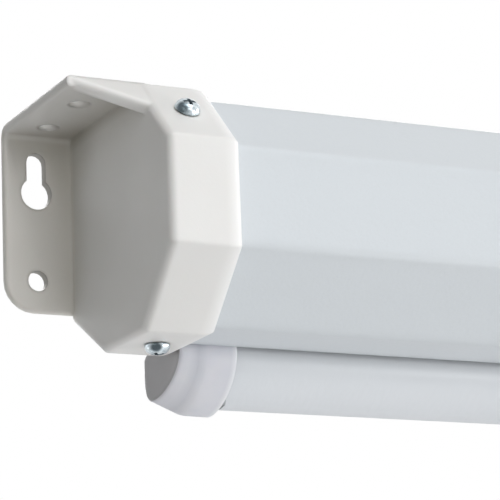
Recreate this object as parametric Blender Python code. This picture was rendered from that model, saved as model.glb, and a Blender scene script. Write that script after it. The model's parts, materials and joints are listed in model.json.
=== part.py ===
# Pull-down projector screen with an octagonal case, for a wall or a ceiling.
# Axes: +X along the case to the right seen from the front, -Y towards the viewers, +Z up.
# Origin: middle of the line where the wall plane (y = 0) meets the ceiling plane (z = 0).

import math

import bmesh
import bpy
from mathutils import Matrix, Vector

# Driving dimensions, in metres

gap = 0.0003                     # clearance between pieces that touch
overcut = 0.002                  # how far a cutter reaches past what it cuts
embed = 0.001                    # how far a fused piece reaches into its neighbour
cloth_width = 1.056
cloth_to_bracket = 0.047         # from the cloth's edge to the end plate's outer face

cap_height = 0.0750              # moulded end bracket, ceiling plane to underside
cap_depth = 0.0762               # wall plane to front face
cap_chamfer = 0.0215             # height and depth of the two front chamfers
cap_back_chamfer_depth = 0.0230
cap_back_chamfer_height = 0.0142
cap_skirt_length = 0.0230        # how far the bracket reaches along the case
cap_skirt_wall = 0.0025
cap_plate_thickness = 0.0034     # end plate
cap_corner_radius = 0.0012
cap_top_back_radius = 0.0035
cap_outer_edge_radius = 0.0024
cap_lip_taper_length = 0.0054    # the skirt thins down to the case over this length
cap_lip_taper_depth = 0.0019
cap_wall_recess = 0.0008         # the body stands this far off the wall
cap_ceiling_recess = 0.0001

flange_reach = 0.0220            # mounting flanges, outwards from the end plate
flange_thickness = 0.0034
flange_drop = 0.0589             # height of the wall flange
flange_corner_radius = 0.0095
flange_bend_radius = 0.0042
flange_inner_radius = 0.0016
flange_edge_radius = 0.0012
flange_end_recess = 0.0004       # the flanges end this far inside the end plate's inner face
gusset_share = 0.42              # where the gusset ends on the upper chamfer
gusset_thickness = 0.0044
gusset_edge_radius = 0.0020

fixing_offset = 0.0115           # fixing holes, outwards from the end plate
keyhole_radius = 0.00505
keyhole_slot_width = 0.0063
keyhole_centre_z = -0.0215
keyhole_slot_z = -0.0117
wall_hole_radius = 0.0032
wall_hole_z = -0.0491
ceiling_hole_radius = 0.0033
ceiling_hole_ys = (-0.0140, -0.0390)

case_wall = 0.0010
case_corner_radius = 0.0030
case_slot_front_y = -0.0294      # the bar rests in the opening between this edge
case_back_edge_z = -0.0590       # and the back wall's lower end
case_lip_height = 0.0040

case_screw_inset = 0.0112        # along the case from the end plate
case_screw_lower_y = -0.0395
screw_radius = 0.0020
screw_head_radius = 0.00385
screw_head_height = 0.0029
screw_length = 0.0095
screw_point_length = 0.0022
screw_hole_clearance = 0.0003
recess_reach = 0.0024            # cross recess in the head
recess_width = 0.00055
recess_depth = 0.0017

tube_radius = 0.0180
tube_wall = 0.0010
roll_radius = 0.0220
roller_to_wall = 0.0376
cloth_thickness = 0.00042

shaft_radius = 0.0040
tang_thickness = 0.0026
tang_width = 0.0090
tang_edge_radius = 0.0006
shaft_end_reach = 0.0035         # past the spring's anchor
socket_radius = 0.0090
socket_depth = 0.0060            # beyond the end plate
socket_floor = 0.0004            # floor of the shaft's seats, beyond the end plate
plug_rim_radius = 0.0186
plug_rim_wall = 0.0016
plug_rim_length = 0.0039
plug_rim_chamfer = 0.0006
plug_web = 0.0020
plug_cup_depth = 0.0047
plug_floor = 0.0030
plug_spigot_length = 0.0200
plug_spigot_wall = 0.0020
plug_sleeve_wall = 0.0027
plug_sleeve_length = 0.0110

hub_radius = 0.0070
hub_notch_floor = 0.0054
hub_notch_end = 90.0             # degrees round the shaft
hub_floor_angle = 17.0
hub_rim_angle = 130.0
hub_length = 0.0040
hub_to_socket = 0.0022
hub_to_cup = 0.0004              # the cup's rim reaches this far past the hub
pawl_pivot_radius = 0.0130
pawl_pivot_angle = 45.0          # degrees round the shaft, from the wall side over the top
pawl_nose_angle = 83.0
pawl_nose_lift = 0.0004
pawl_thickness = 0.0030
pawl_eye_radius = 0.0028
pawl_nose_radius = 0.0009
pawl_pin_radius = 0.0012
pawl_pin_head_radius = 0.0021
pawl_pin_head_height = 0.0008

spring_coil_radius = 0.0075
spring_wire_radius = 0.0008
spring_length = 0.2040
spring_turns = 18
spring_grip_radius = 0.0064
spring_grip_length = 0.0120
spring_to_plug = 0.0060
anchor_length = 0.0100
clip_radius = 0.0068
clip_thickness = 0.0010

bush_wall = 0.0017
bush_flange_radius = 0.0076
bush_flange_thickness = 0.0008
pin_length = 0.0280

bar_rise = 0.0020                # the bar's centre above the bracket's underside
bar_cap_half_depth = 0.0139      # bottom bar's end cap, an oval with a low crown
bar_cap_half_height = 0.0168
bar_cap_power = 2.05             # 2 would be a plain ellipse
bar_keel = 0.0062                # the lowest point lies this far behind the cloth
bar_cap_shoulder = 0.0060        # height of the crown above the oval's centre
bar_cap_crown_power = 2.8
bar_cap_length = 0.0192
bar_cap_chamfer = 0.0100         # the end face is drawn in over this length
bar_cap_chamfer_ease = 0.0012
bar_cap_face_side_draw = 0.0004
bar_cap_face_low_draw = 0.0040
bar_cap_face_top_draw = 0.0020
bar_cap_edge_radius = 0.0008
bar_cap_socket_start = 0.0085    # from the end face
bar_cap_to_bracket = 0.0006
bar_notch_length = 0.0026        # relief in the bar's underside, next to each cap
bar_notch_height = 0.0018
bar_notch_corner = 0.0010
bar_step = 0.0024                # the cap stands this proud of the bar
bar_top_step = 0.0011
bar_wall = 0.0010
bar_slot_half_width = 0.0017
bar_lip_bend = 0.0009
bar_lip_height = 0.0036
hem_rod_radius = 0.0025

handle_clip_length = 0.0600
handle_clip_depth = 0.0160
handle_clip_height = 0.0095      # below the bar
handle_clip_edge_radius = 0.0010
handle_clip_corner_radius = 0.0030
handle_pivot_drop = 0.00515      # below the bar
handle_wire_radius = 0.0020
handle_width = 0.0740            # between the centre lines of the legs
handle_drop = 0.0340
handle_bend_radius = 0.0080
handle_pin_length = 0.0070
handle_screw_spacing = 0.0240
handle_screw_radius = 0.0016
handle_screw_reach = 0.0048      # past the bar's lowest line
handle_screw_head_radius = 0.0032
handle_screw_head_height = 0.0020
handle_screw_recess_share = 0.72

# Sizes and places that follow

half_span = cloth_width / 2 + cloth_to_bracket
case_inset = cap_skirt_wall + gap
case_half_length = half_span - cap_plate_thickness - gap
case_bottom_z = -cap_height + case_inset
roller_y = -roller_to_wall
roller_z = -cap_height / 2
cloth_y = roller_y + roll_radius + gap + cloth_thickness / 2
socket_end = cap_plate_thickness + socket_depth
hub_start = socket_end + hub_to_socket
cup_start = hub_start - hub_to_cup
floor_start = cup_start + plug_cup_depth
left_tube_start = floor_start + plug_floor + gap
bush_flange_start = socket_end + gap
right_rim_start = bush_flange_start + bush_flange_thickness + gap
right_tube_start = right_rim_start + plug_rim_length
spring_start = left_tube_start + plug_spigot_length + spring_to_plug
spring_end = spring_start + spring_length
anchor_start = spring_end + gap
spigot_radius = tube_radius - tube_wall - gap
shaft_bore = shaft_radius + gap
shaft_seat = cap_plate_thickness + socket_floor
bar_centre_z = -cap_height + bar_rise
bar_cap_top_z = bar_centre_z + bar_cap_shoulder
bar_top_z = bar_cap_top_z - bar_top_step
bar_cap_start = cap_skirt_length + bar_cap_to_bracket
bar_bottom_z = bar_centre_z - bar_cap_half_height + bar_step
bar_lip_z = bar_top_z - bar_wall - bar_lip_height
hem_rod_z = bar_lip_z - gap - hem_rod_radius
handle_pivot_z = bar_bottom_z - handle_pivot_drop


# Outlines, as lists of (u, v) points

def direction(start, end):
    return (Vector(end) - Vector(start)).normalized()


def rounded(points, radii, steps=4, closed=True):
    # Each corner becomes an arc of its radius, in the same number of steps whatever the radius.
    least = 1e-5
    outline = []
    count = len(points)
    for i, (point, radius) in enumerate(zip(points, radii)):
        if not closed and i in (0, count - 1):
            outline.append(Vector(point))
            continue
        incoming = direction(points[i - 1], point)
        outgoing = direction(point, points[(i + 1) % count])
        turn = incoming.angle_signed(outgoing)
        reach = max(radius, least) * math.tan(abs(turn) / 2)
        first = Vector(point) - incoming * reach
        side = Vector((-incoming.y, incoming.x)) * (-1 if turn > 0 else 1)
        centre = first + side * max(radius, least)
        for step in range(steps + 1):
            spoke = (first - centre)
            spoke.rotate(Matrix.Rotation(-turn * step / steps, 2))
            outline.append(centre + spoke)
    return outline


def moved_in(points, distance):
    # Every side of a closed outline moves towards its inside by the distance.
    count = len(points)
    area = sum(points[i - 1][0] * points[i][1] - points[i][0] * points[i - 1][1] for i in range(count))
    turn = 1 if area > 0 else -1
    moved = []
    for i in range(count):
        incoming = direction(points[i - 1], points[i])
        outgoing = direction(points[i], points[(i + 1) % count])
        first = Vector((-incoming.y, incoming.x)) * turn
        second = Vector((-outgoing.y, outgoing.x)) * turn
        share = distance / (1 + first.dot(second))
        moved.append(Vector(points[i]) + (first + second) * share)
    return moved


def strip(path, wall):
    # A closed outline that follows an open path on both sides, half a wall away.
    left, right = [], []
    for i, point in enumerate(path):
        before = path[max(i - 1, 0)]
        after = path[min(i + 1, len(path) - 1)]
        incoming = direction(before, point) if i > 0 else direction(point, after)
        outgoing = direction(point, after) if i < len(path) - 1 else incoming
        first = Vector((-incoming.y, incoming.x))
        second = Vector((-outgoing.y, outgoing.x))
        shift = (first + second) * (wall / 2 / (1 + first.dot(second)))
        left.append(Vector(point) + shift)
        right.append(Vector(point) - shift)
    return left + right[::-1]


def circle(centre, radius, sides):
    angles = [2 * math.pi * i / sides for i in range(sides)]
    return [Vector((centre[0] + radius * math.cos(a), centre[1] + radius * math.sin(a))) for a in angles]


def arc(centre, radius, start, end, steps):
    angles = [math.radians(start + (end - start) * i / steps) for i in range(steps + 1)]
    return [Vector((centre[0] + radius * math.cos(a), centre[1] + radius * math.sin(a))) for a in angles]


def quarter_steps(length, depth, steps):
    # (along, inset) pairs down a quarter ellipse, from full inset at its edge to none.
    angles = [math.pi / 2 * i / steps for i in range(steps + 1)]
    return [(length * (1 - math.cos(a)), depth * (1 - math.sin(a))) for a in angles]


# Meshes and objects

def along_x(point, x):
    return Vector((x, point[0], point[1]))


def along_y(point, y):
    return Vector((point[0], y, point[1]))


def along_z(point, z):
    return Vector((point[0], point[1], z))


def loft(rings, place=along_x):
    # Joins outlines of equal point count, each at its own distance, and closes both ends.
    bm = bmesh.new()
    loops = []
    for distance, outline in rings:
        loops.append([bm.verts.new(place(point, distance)) for point in outline])
    for first, second in zip(loops, loops[1:]):
        for i in range(len(first)):
            j = (i + 1) % len(first)
            bm.faces.new((first[i], first[j], second[j], second[i]))
    bm.faces.new(loops[0])
    bm.faces.new(loops[-1])
    bmesh.ops.recalc_face_normals(bm, faces=bm.faces)
    return bm


def prism(outline, start, end, place=along_x):
    return loft([(start, outline), (end, outline)], place)


def revolve(profile, sides):
    # Turns a closed (distance, radius) profile about the X axis. No point lies on the axis.
    bm = bmesh.new()
    verts = [bm.verts.new((distance, 0, radius)) for distance, radius in profile]
    edges = [bm.edges.new((verts[i - 1], verts[i])) for i in range(len(verts))]
    bmesh.ops.spin(bm, geom=verts + edges, cent=(0, 0, 0), axis=(1, 0, 0), angle=2 * math.pi,
                   steps=sides, use_merge=True)
    bmesh.ops.recalc_face_normals(bm, faces=bm.faces)
    return bm


def rod(radius, start, end, sides=20, chamfer=0.0004):
    full = circle((0, 0), radius, sides)
    small = circle((0, 0), radius - chamfer, sides)
    return loft([(start, small), (start + chamfer, full), (end - chamfer, full), (end, small)])


def moved(bm, offset):
    bmesh.ops.translate(bm, verts=bm.verts, vec=offset)
    return bm


def bevelled(bm, chosen, width, segments):
    edges = [edge for edge in bm.edges if chosen(edge)]
    bmesh.ops.bevel(bm, geom=edges, offset=width, affect="EDGES", segments=segments, profile=0.5,
                    material=-1, clamp_overlap=True)
    return bm


def material(name, colour, roughness, metallic=0.0):
    made = bpy.data.materials.new(name)
    made.use_nodes = True
    shader = made.node_tree.nodes["Principled BSDF"]
    shader.inputs["Base Color"].default_value = (*colour, 1.0)
    shader.inputs["Roughness"].default_value = roughness
    shader.inputs["Metallic"].default_value = metallic
    made.diffuse_color = (*colour, 1.0)
    return made


def piece(name, bm, finish, pivot=None, sharp=35.0):
    # The object's origin goes to its pivot, and its mesh stays where it was modelled.
    if pivot is not None:
        bmesh.ops.translate(bm, verts=bm.verts, vec=-Vector(pivot))
    mesh = bpy.data.meshes.new(name)
    bm.to_mesh(mesh)
    bm.free()
    mesh.shade_smooth()
    mesh.set_sharp_from_angle(angle=math.radians(sharp))
    made = bpy.data.objects.new(name, mesh)
    bpy.context.scene.collection.objects.link(made)
    if finish is not None:
        mesh.materials.append(finish)
    if pivot is not None:
        made.location = pivot
    return made


def helper(name, bm):
    made = piece(name, bm, None)
    made.hide_render = True
    made.display_type = "WIRE"
    return made


def combine(target, other, operation):
    step = target.modifiers.new(other.name, "BOOLEAN")
    step.operation = operation
    step.solver = "EXACT"
    step.object = other


def cut(target, name, bm):
    combine(target, helper(name, bm), "DIFFERENCE")


def fuse(target, name, bm):
    combine(target, helper(name, bm), "UNION")


def inwards(side, distance):
    # World x of a point that lies this far inside the end plate's outer face.
    return side * (half_span - distance)


# Finishes

def make_finishes():
    return {
        "bracket_plastic": material("bracket_plastic", (0.80, 0.79, 0.765), 0.38),
        "case_paint": material("case_paint", (0.70, 0.735, 0.755), 0.42),
        "bar_paint": material("bar_paint", (0.68, 0.70, 0.715), 0.45),
        "bar_cap_plastic": material("bar_cap_plastic", (0.72, 0.72, 0.77), 0.40),
        "zinc": material("zinc", (0.62, 0.66, 0.70), 0.25, 1.0),
        "steel": material("steel", (0.52, 0.53, 0.54), 0.32, 1.0),
        "spring_steel": material("spring_steel", (0.30, 0.30, 0.31), 0.35, 1.0),
        "nylon": material("nylon", (0.78, 0.77, 0.72), 0.45),
        "grey_plastic": material("grey_plastic", (0.30, 0.31, 0.33), 0.45),
        "screen_cloth": material("screen_cloth", (0.86, 0.86, 0.85), 0.85),
    }


# Moulded end brackets

def cap_corners():
    top = -cap_ceiling_recess
    back = -cap_wall_recess
    slope_top = -(cap_depth - cap_chamfer) - cap_ceiling_recess
    return [
        (back, top),
        (slope_top, top),
        (-cap_depth, -cap_chamfer),
        (-cap_depth, -cap_height + cap_chamfer),
        (-cap_depth + cap_chamfer, -cap_height),
        (back - cap_back_chamfer_depth, -cap_height),
        (back, -cap_height + cap_back_chamfer_height),
    ]


def cap_outline(inset, back_radius=cap_top_back_radius, radius=cap_corner_radius):
    radii = [max(back_radius - inset, 0.0)] + [max(radius - inset, 0.0)] * 6
    return rounded(moved_in(cap_corners(), inset), radii)


def cap_body(side):
    rings = [(x, cap_outline(inset)) for x, inset in
             quarter_steps(cap_outer_edge_radius, cap_outer_edge_radius, 4)]
    taper = quarter_steps(cap_lip_taper_length, cap_lip_taper_depth, 6)
    rings += [(cap_skirt_length - x, cap_outline(inset)) for x, inset in reversed(taper)]
    return loft([(inwards(side, x), outline) for x, outline in rings])


def cap_flanges(side):
    # Wall and ceiling flange are one L-shaped profile, rounded along the bend and all free edges.
    top_depth = cap_depth - cap_chamfer
    profile = [
        (0, 0),
        (-top_depth, 0),
        (-top_depth, -flange_thickness),
        (-flange_thickness, -flange_thickness),
        (-flange_thickness, -flange_drop),
        (0, -flange_drop),
    ]
    outer = inwards(side, -flange_reach)
    inner = inwards(side, cap_plate_thickness - flange_end_recess)
    bm = prism([Vector(point) for point in profile], outer, inner)
    small = 1e-6

    def at_low_corner(edge):
        return all(abs(v.co.x - outer) < small and abs(v.co.z + flange_drop) < small for v in edge.verts)

    def at_bend(edge):
        return all(abs(v.co.y) < small and abs(v.co.z) < small for v in edge.verts)

    def at_inner_bend(edge):
        return all(abs(v.co.y + flange_thickness) < small and abs(v.co.z + flange_thickness) < small
                   for v in edge.verts)

    def free_edge(edge):
        if len(edge.link_faces) != 2 or edge.calc_face_angle() < math.radians(50):
            return False
        if edge.calc_face_angle_signed() < 0 or all(abs(v.co.x - inner) < small for v in edge.verts):
            return False
        return not all(abs(v.co.y + top_depth) < small for v in edge.verts)

    bevelled(bm, at_low_corner, flange_corner_radius, 6)
    bevelled(bm, at_bend, flange_bend_radius, 4)
    bevelled(bm, at_inner_bend, flange_inner_radius, 4)
    bevelled(bm, free_edge, flange_edge_radius, 2)
    bmesh.ops.recalc_face_normals(bm, faces=bm.faces)
    return bm


def chamfer_point(side, distance, down, depth):
    # A point by its distance inside the end plate, down the upper chamfer and into the plastic.
    slope = math.sqrt(0.5)
    y = -(cap_depth - cap_chamfer) - down * slope + depth * slope
    return Vector((inwards(side, distance), y, -down * slope - depth * slope))


def cap_gusset(side):
    # Web in the plane of the upper chamfer, from the ceiling flange's tip down to the end plate.
    skin = 0.0002
    chamfer_length = cap_chamfer * math.sqrt(2)
    root = 0.0022
    start = 0.0006
    slope = gusset_share * chamfer_length / flange_reach
    corners = [(-flange_reach + 0.0002, start), (root, start), (root, (flange_reach + root) * slope)]
    bm = bmesh.new()
    outer = [bm.verts.new(chamfer_point(side, d, s, skin)) for d, s in corners]
    inner = [bm.verts.new(chamfer_point(side, d, s, skin + gusset_thickness)) for d, s in corners]
    bm.faces.new(outer)
    bm.faces.new(inner[::-1])
    for i in range(3):
        j = (i + 1) % 3
        bm.faces.new((outer[i], inner[i], inner[j], outer[j]))
    bmesh.ops.recalc_face_normals(bm, faces=bm.faces)
    bm.edges.ensure_lookup_table()
    free = {frozenset((outer[2], outer[0])), frozenset((inner[2], inner[0]))}
    return bevelled(bm, lambda edge: frozenset(edge.verts) in free, gusset_edge_radius, 4)


def keyhole_outline(x):
    half = keyhole_slot_width / 2
    opening = math.degrees(math.asin(half / keyhole_radius))
    round_part = arc((x, keyhole_centre_z), keyhole_radius, 90 + opening, 450 - opening, 20)
    return round_part + arc((x, keyhole_slot_z), half, 0, 180, 8)


def cut_fixing_holes(bracket, side):
    x = inwards(side, -fixing_offset)
    through = -flange_thickness - overcut
    cut(bracket, f"keyhole_cut_{bracket.name}",
        prism(keyhole_outline(x), overcut, through, along_y))
    cut(bracket, f"wall_hole_cut_{bracket.name}",
        prism(circle((x, wall_hole_z), wall_hole_radius, 20), overcut, through, along_y))
    for number, y in enumerate(ceiling_hole_ys, 1):
        cut(bracket, f"ceiling_hole_cut_{number}_{bracket.name}",
            prism(circle((x, y), ceiling_hole_radius, 20), overcut, through, along_z))


def case_screw_places(side):
    # (centre on the bracket's surface, outward direction) of the two screws at one end.
    x = inwards(side, case_screw_inset)
    down = cap_chamfer * math.sqrt(0.5)
    upper = chamfer_point(side, case_screw_inset, down, 0)
    lower = Vector((x, case_screw_lower_y, -cap_height))
    return {"upper": (upper, Vector((0, -1, 1)).normalized()), "lower": (lower, Vector((0, 0, -1)))}


def turned_to(bm, place, outward):
    # Something modelled along +X from x = 0 is set at a place, facing outward.
    turn = Vector((1, 0, 0)).rotation_difference(outward).to_matrix().to_4x4()
    bmesh.ops.transform(bm, matrix=Matrix.Translation(place) @ turn, verts=bm.verts)
    return bm


def cut_screw_holes(target, side):
    for place, (centre, outward) in case_screw_places(side).items():
        drill = rod(screw_radius + screw_hole_clearance, -screw_length, overcut, 16)
        end = "left" if side < 0 else "right"
        cut(target, f"screw_hole_cut_{place}_{end}_{target.name}", turned_to(drill, centre, outward))


def make_bracket(name, side, finish):
    bracket = piece(name, cap_body(side), finish)
    cavity = cap_outline(cap_skirt_wall, cap_top_back_radius, case_corner_radius + cap_skirt_wall)
    cut(bracket, f"cavity_cut_{name}",
        prism(cavity, inwards(side, cap_plate_thickness), inwards(side, cap_skirt_length + overcut)))
    fuse(bracket, f"flanges_{name}", cap_flanges(side))
    fuse(bracket, f"gusset_{name}", cap_gusset(side))
    boss = rod(socket_radius, inwards(side, cap_plate_thickness - embed), inwards(side, socket_end), 24, 0.0)
    fuse(bracket, f"socket_{name}", moved(boss, (0, roller_y, roller_z)))
    if side < 0:
        half_thickness = tang_thickness / 2 + gap
        half_width = tang_width / 2 + gap
        slot = [(roller_y - half_thickness, roller_z - half_width),
                (roller_y + half_thickness, roller_z - half_width),
                (roller_y + half_thickness, roller_z + half_width),
                (roller_y - half_thickness, roller_z + half_width)]
        cut(bracket, f"tang_slot_cut_{name}",
            prism([Vector(p) for p in slot], inwards(side, shaft_seat), inwards(side, socket_end + overcut)))
    else:
        bore = circle((roller_y, roller_z), shaft_radius + gap + bush_wall + gap, 24)
        cut(bracket, f"bush_bore_cut_{name}",
            prism(bore, inwards(side, shaft_seat), inwards(side, socket_end + overcut)))
    cut_fixing_holes(bracket, side)
    cut_screw_holes(bracket, side)
    return bracket


# Case

def make_case(finish):
    corners = moved_in(cap_corners(), case_inset + case_wall / 2)
    top_back, top_front, front_high, front_low, bottom_front = corners[:5]
    front_edge = Vector((case_slot_front_y - case_wall / 2, bottom_front.y))
    back_edge = Vector((top_back.x, case_back_edge_z + case_wall / 2))
    path = [front_edge + Vector((0, case_lip_height)), front_edge, bottom_front, front_low, front_high,
            top_front, top_back, back_edge, back_edge - Vector((case_lip_height, 0))]
    bend = case_corner_radius - case_wall / 2
    radii = [0, 0.0010, bend, bend, bend, bend, bend, 0.0010, 0]
    outline = strip(rounded(path, radii, 4, closed=False), case_wall)
    case = piece("casing", prism(outline, -case_half_length, case_half_length), finish)
    cut_screw_holes(case, -1)
    cut_screw_holes(case, 1)
    return case


def screw_mesh(length=screw_length, head=screw_head_radius, height=screw_head_height, shank=screw_radius):
    # Pan head above x = 0, plain shank with a blunt point below it.
    dome = [(gap + height * math.sin(a), head * math.cos(a) ** 0.5)
            for a in (math.radians(10 * i) for i in range(1, 9))]
    profile = [(gap, head * 0.96)] + dome
    stations = [(-length, shank * 0.25), (-length + screw_point_length, shank), (gap, shank)] + profile
    return loft([(x, circle((0, 0), radius, 16)) for x, radius in stations])


def cross_outline(reach, width):
    points = []
    for quarter in range(4):
        turn = Matrix.Rotation(math.pi / 2 * quarter, 2)
        points += [turn @ Vector(point) for point in ((reach, -width), (reach, width), (width, width))]
    return points


def make_screw(name, bm, place, outward, finish, size=1.0, height=screw_head_height):
    # The head's cross recess narrows towards its floor.
    screw = piece(name, turned_to(bm, place, outward), finish)
    top = height + 2 * gap
    floor = height - recess_depth * size
    wide = cross_outline(recess_reach * size, recess_width * size)
    narrow = cross_outline(recess_reach * size * 0.5, recess_width * size * 0.8)
    cut(screw, f"recess_cut_{name}", turned_to(loft([(floor, narrow), (top, wide)]), place, outward))


def make_case_screws(finish):
    for side, end in ((-1, "left"), (1, "right")):
        for place, (centre, outward) in case_screw_places(side).items():
            make_screw(f"case_screw_{end}_{place}", screw_mesh(), centre, outward, finish)


# Spring roller: what stays still

def make_spade_shaft(finish):
    # Round shaft whose outer end is pressed flat, to sit unturning in the left bracket's slot.
    flat = rounded([(-tang_thickness / 2, -tang_width / 2), (tang_thickness / 2, -tang_width / 2),
                    (tang_thickness / 2, tang_width / 2), (-tang_thickness / 2, tang_width / 2)],
                   [tang_edge_radius] * 4, 3)
    round_end = [Vector((p.x, p.y)) for p in circle((0, 0), shaft_radius, 16)]
    first = min(range(16), key=lambda i: (round_end[i] - Vector((-1, -1)) * shaft_radius / 1.4).length)
    turn = 1 if sum((flat[i - 1].x * flat[i].y - flat[i].x * flat[i - 1].y) for i in range(16)) > 0 else -1
    start_index = first - 2 * turn
    round_end = [round_end[(start_index + turn * i) % 16] for i in range(16)]
    tip = shaft_seat + gap
    stations = [(tip, flat), (socket_end + gap, flat), (hub_start - 2 * gap, round_end),
                (anchor_start + anchor_length + shaft_end_reach, round_end)]
    bm = loft([(inwards(-1, x), outline) for x, outline in stations])
    return piece("spade_shaft", moved(bm, (0, roller_y, roller_z)), finish)


def hub_outline():
    # Two opposite notches, each with one ramp and one square side that stops the pawl's nose.
    points = []
    for half in (0, 180):
        points += arc((0, 0), hub_radius, half + hub_notch_end, half + hub_notch_end + hub_rim_angle, 10)
        floor_start_angle = half + 180 + hub_notch_end - hub_floor_angle
        points += arc((0, 0), hub_notch_floor, floor_start_angle, half + 180 + hub_notch_end, 2)
    return points


def make_ratchet_hub(finish):
    bm = prism(hub_outline(), inwards(-1, hub_start), inwards(-1, hub_start + hub_length))
    hub = piece("ratchet_hub", moved(bm, (0, roller_y, roller_z)), finish)
    bore_end = hub_start + hub_length + overcut
    bore = rod(shaft_bore, inwards(-1, hub_start - overcut), inwards(-1, bore_end), 20, 0)
    cut(hub, "ratchet_hub_bore_cut", moved(bore, (0, roller_y, roller_z)))
    return hub


def make_spring_collar(finish):
    start = spring_start + gap
    profile = [(0, shaft_bore), (spring_grip_length, shaft_bore), (spring_grip_length, spring_grip_radius),
               (0, spring_grip_radius)]
    bm = revolve([(inwards(-1, start + x), r) for x, r in profile], 20)
    return piece("spring_collar", moved(bm, (0, roller_y, roller_z)), finish)


def make_shaft_clip(finish):
    start = anchor_start + anchor_length + gap
    ring = arc((0, 0), clip_radius, 30, 330, 18) + arc((0, 0), shaft_bore, 330, 30, 18)
    bm = prism(ring, inwards(-1, start), inwards(-1, start + clip_thickness))
    return piece("shaft_clip", moved(bm, (0, roller_y, roller_z)), finish)


def make_pin_bush(finish):
    bore = shaft_radius + gap
    outer = bore + bush_wall
    start = shaft_seat + gap
    profile = [(start, bore), (bush_flange_start + bush_flange_thickness, bore),
               (bush_flange_start + bush_flange_thickness, bush_flange_radius),
               (bush_flange_start, bush_flange_radius), (bush_flange_start, outer), (start, outer)]
    bm = revolve([(inwards(1, x), r) for x, r in profile], 24)
    return piece("pin_bush", moved(bm, (0, roller_y, roller_z)), finish)


# Spring roller: what turns

roller_axis = Vector((0, roller_y, roller_z))


def make_roller_tube(finish):
    inner = tube_radius - tube_wall
    start = inwards(-1, left_tube_start)
    end = inwards(1, right_tube_start)
    bm = revolve([(start, inner), (end, inner), (end, tube_radius), (start, tube_radius)], 40)
    return piece("roller_tube", moved(bm, roller_axis), finish, roller_axis)


def make_spring_end_plug(finish):
    # Cup for the pawls, floor, spigot in the tube and a sleeve that runs on the shaft.
    floor_end = floor_start + plug_floor
    spigot_end = floor_end + plug_spigot_length
    sleeve = shaft_bore + plug_sleeve_wall
    cup = plug_rim_radius - plug_rim_wall
    hollow = spigot_radius - plug_spigot_wall
    profile = [(floor_start, shaft_bore), (floor_start, cup), (cup_start, cup), (cup_start, plug_rim_radius),
               (floor_end, plug_rim_radius), (floor_end, spigot_radius), (spigot_end, spigot_radius),
               (spigot_end, hollow), (floor_end + plug_web, hollow), (floor_end + plug_web, sleeve),
               (floor_end + plug_sleeve_length, sleeve), (floor_end + plug_sleeve_length, shaft_bore)]
    bm = revolve([(inwards(-1, x), r) for x, r in profile], 40)
    plug = piece("spring_end_plug", moved(bm, roller_axis), finish, roller_axis)
    for name, pivot in pawl_pivots().items():
        ends = inwards(-1, floor_start - overcut), inwards(-1, floor_end + overcut)
        hole = rod(pawl_pin_radius + gap, *ends, 12, 0)
        cut(plug, f"pin_hole_cut_{name}", moved(hole, (0, pivot.y, pivot.z)))
    return plug


def pawl_pivots():
    places = {}
    for name, half in (("upper", 0), ("lower", 180)):
        angle = math.radians(pawl_pivot_angle + half)
        offset = Vector((0, math.cos(angle), math.sin(angle))) * pawl_pivot_radius
        places[name] = roller_axis + offset
    return places


def pawl_outline():
    # Eye and nose circles joined by their outer tangents, as (y, z) from the roller's axis.
    eye_angle = math.radians(pawl_pivot_angle)
    nose_angle = math.radians(pawl_nose_angle)
    eye = Vector((math.cos(eye_angle), math.sin(eye_angle))) * pawl_pivot_radius
    reach = hub_radius + pawl_nose_lift + pawl_nose_radius
    nose = Vector((math.cos(nose_angle), math.sin(nose_angle))) * reach
    line = nose - eye
    heading = math.degrees(math.atan2(line.y, line.x))
    lean = math.degrees(math.acos((pawl_eye_radius - pawl_nose_radius) / line.length))
    around_eye = arc(eye, pawl_eye_radius, heading + lean, heading + 360 - lean, 12)
    around_nose = arc(nose, pawl_nose_radius, heading - lean, heading + lean, 6)
    return around_eye + around_nose


def make_pawls(pawl_finish, pin_finish):
    start = floor_start - gap - pawl_thickness
    for name, pivot in pawl_pivots().items():
        turn = 0 if name == "upper" else math.pi
        bm = prism(pawl_outline(), inwards(-1, start), inwards(-1, start + pawl_thickness))
        bmesh.ops.rotate(bm, verts=bm.verts, cent=(0, 0, 0), matrix=Matrix.Rotation(turn, 3, "X"))
        pawl = piece(f"pawl_{name}", moved(bm, roller_axis), pawl_finish, pivot)
        ends = inwards(-1, start - overcut), inwards(-1, floor_start + overcut)
        hole = rod(pawl_pin_radius + gap, *ends, 12, 0)
        cut(pawl, f"pawl_bore_cut_{name}", moved(hole, (0, pivot.y, pivot.z)))
        head = start - gap - pawl_pin_head_height
        stations = [(head, pawl_pin_head_radius), (start - gap, pawl_pin_head_radius),
                    (start - gap, pawl_pin_radius), (floor_start + plug_floor - gap, pawl_pin_radius)]
        pin = loft([(inwards(-1, x), circle((pivot.y, pivot.z), r, 12)) for x, r in stations])
        piece(f"pawl_pin_{name}", pin, pin_finish, pivot)


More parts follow.
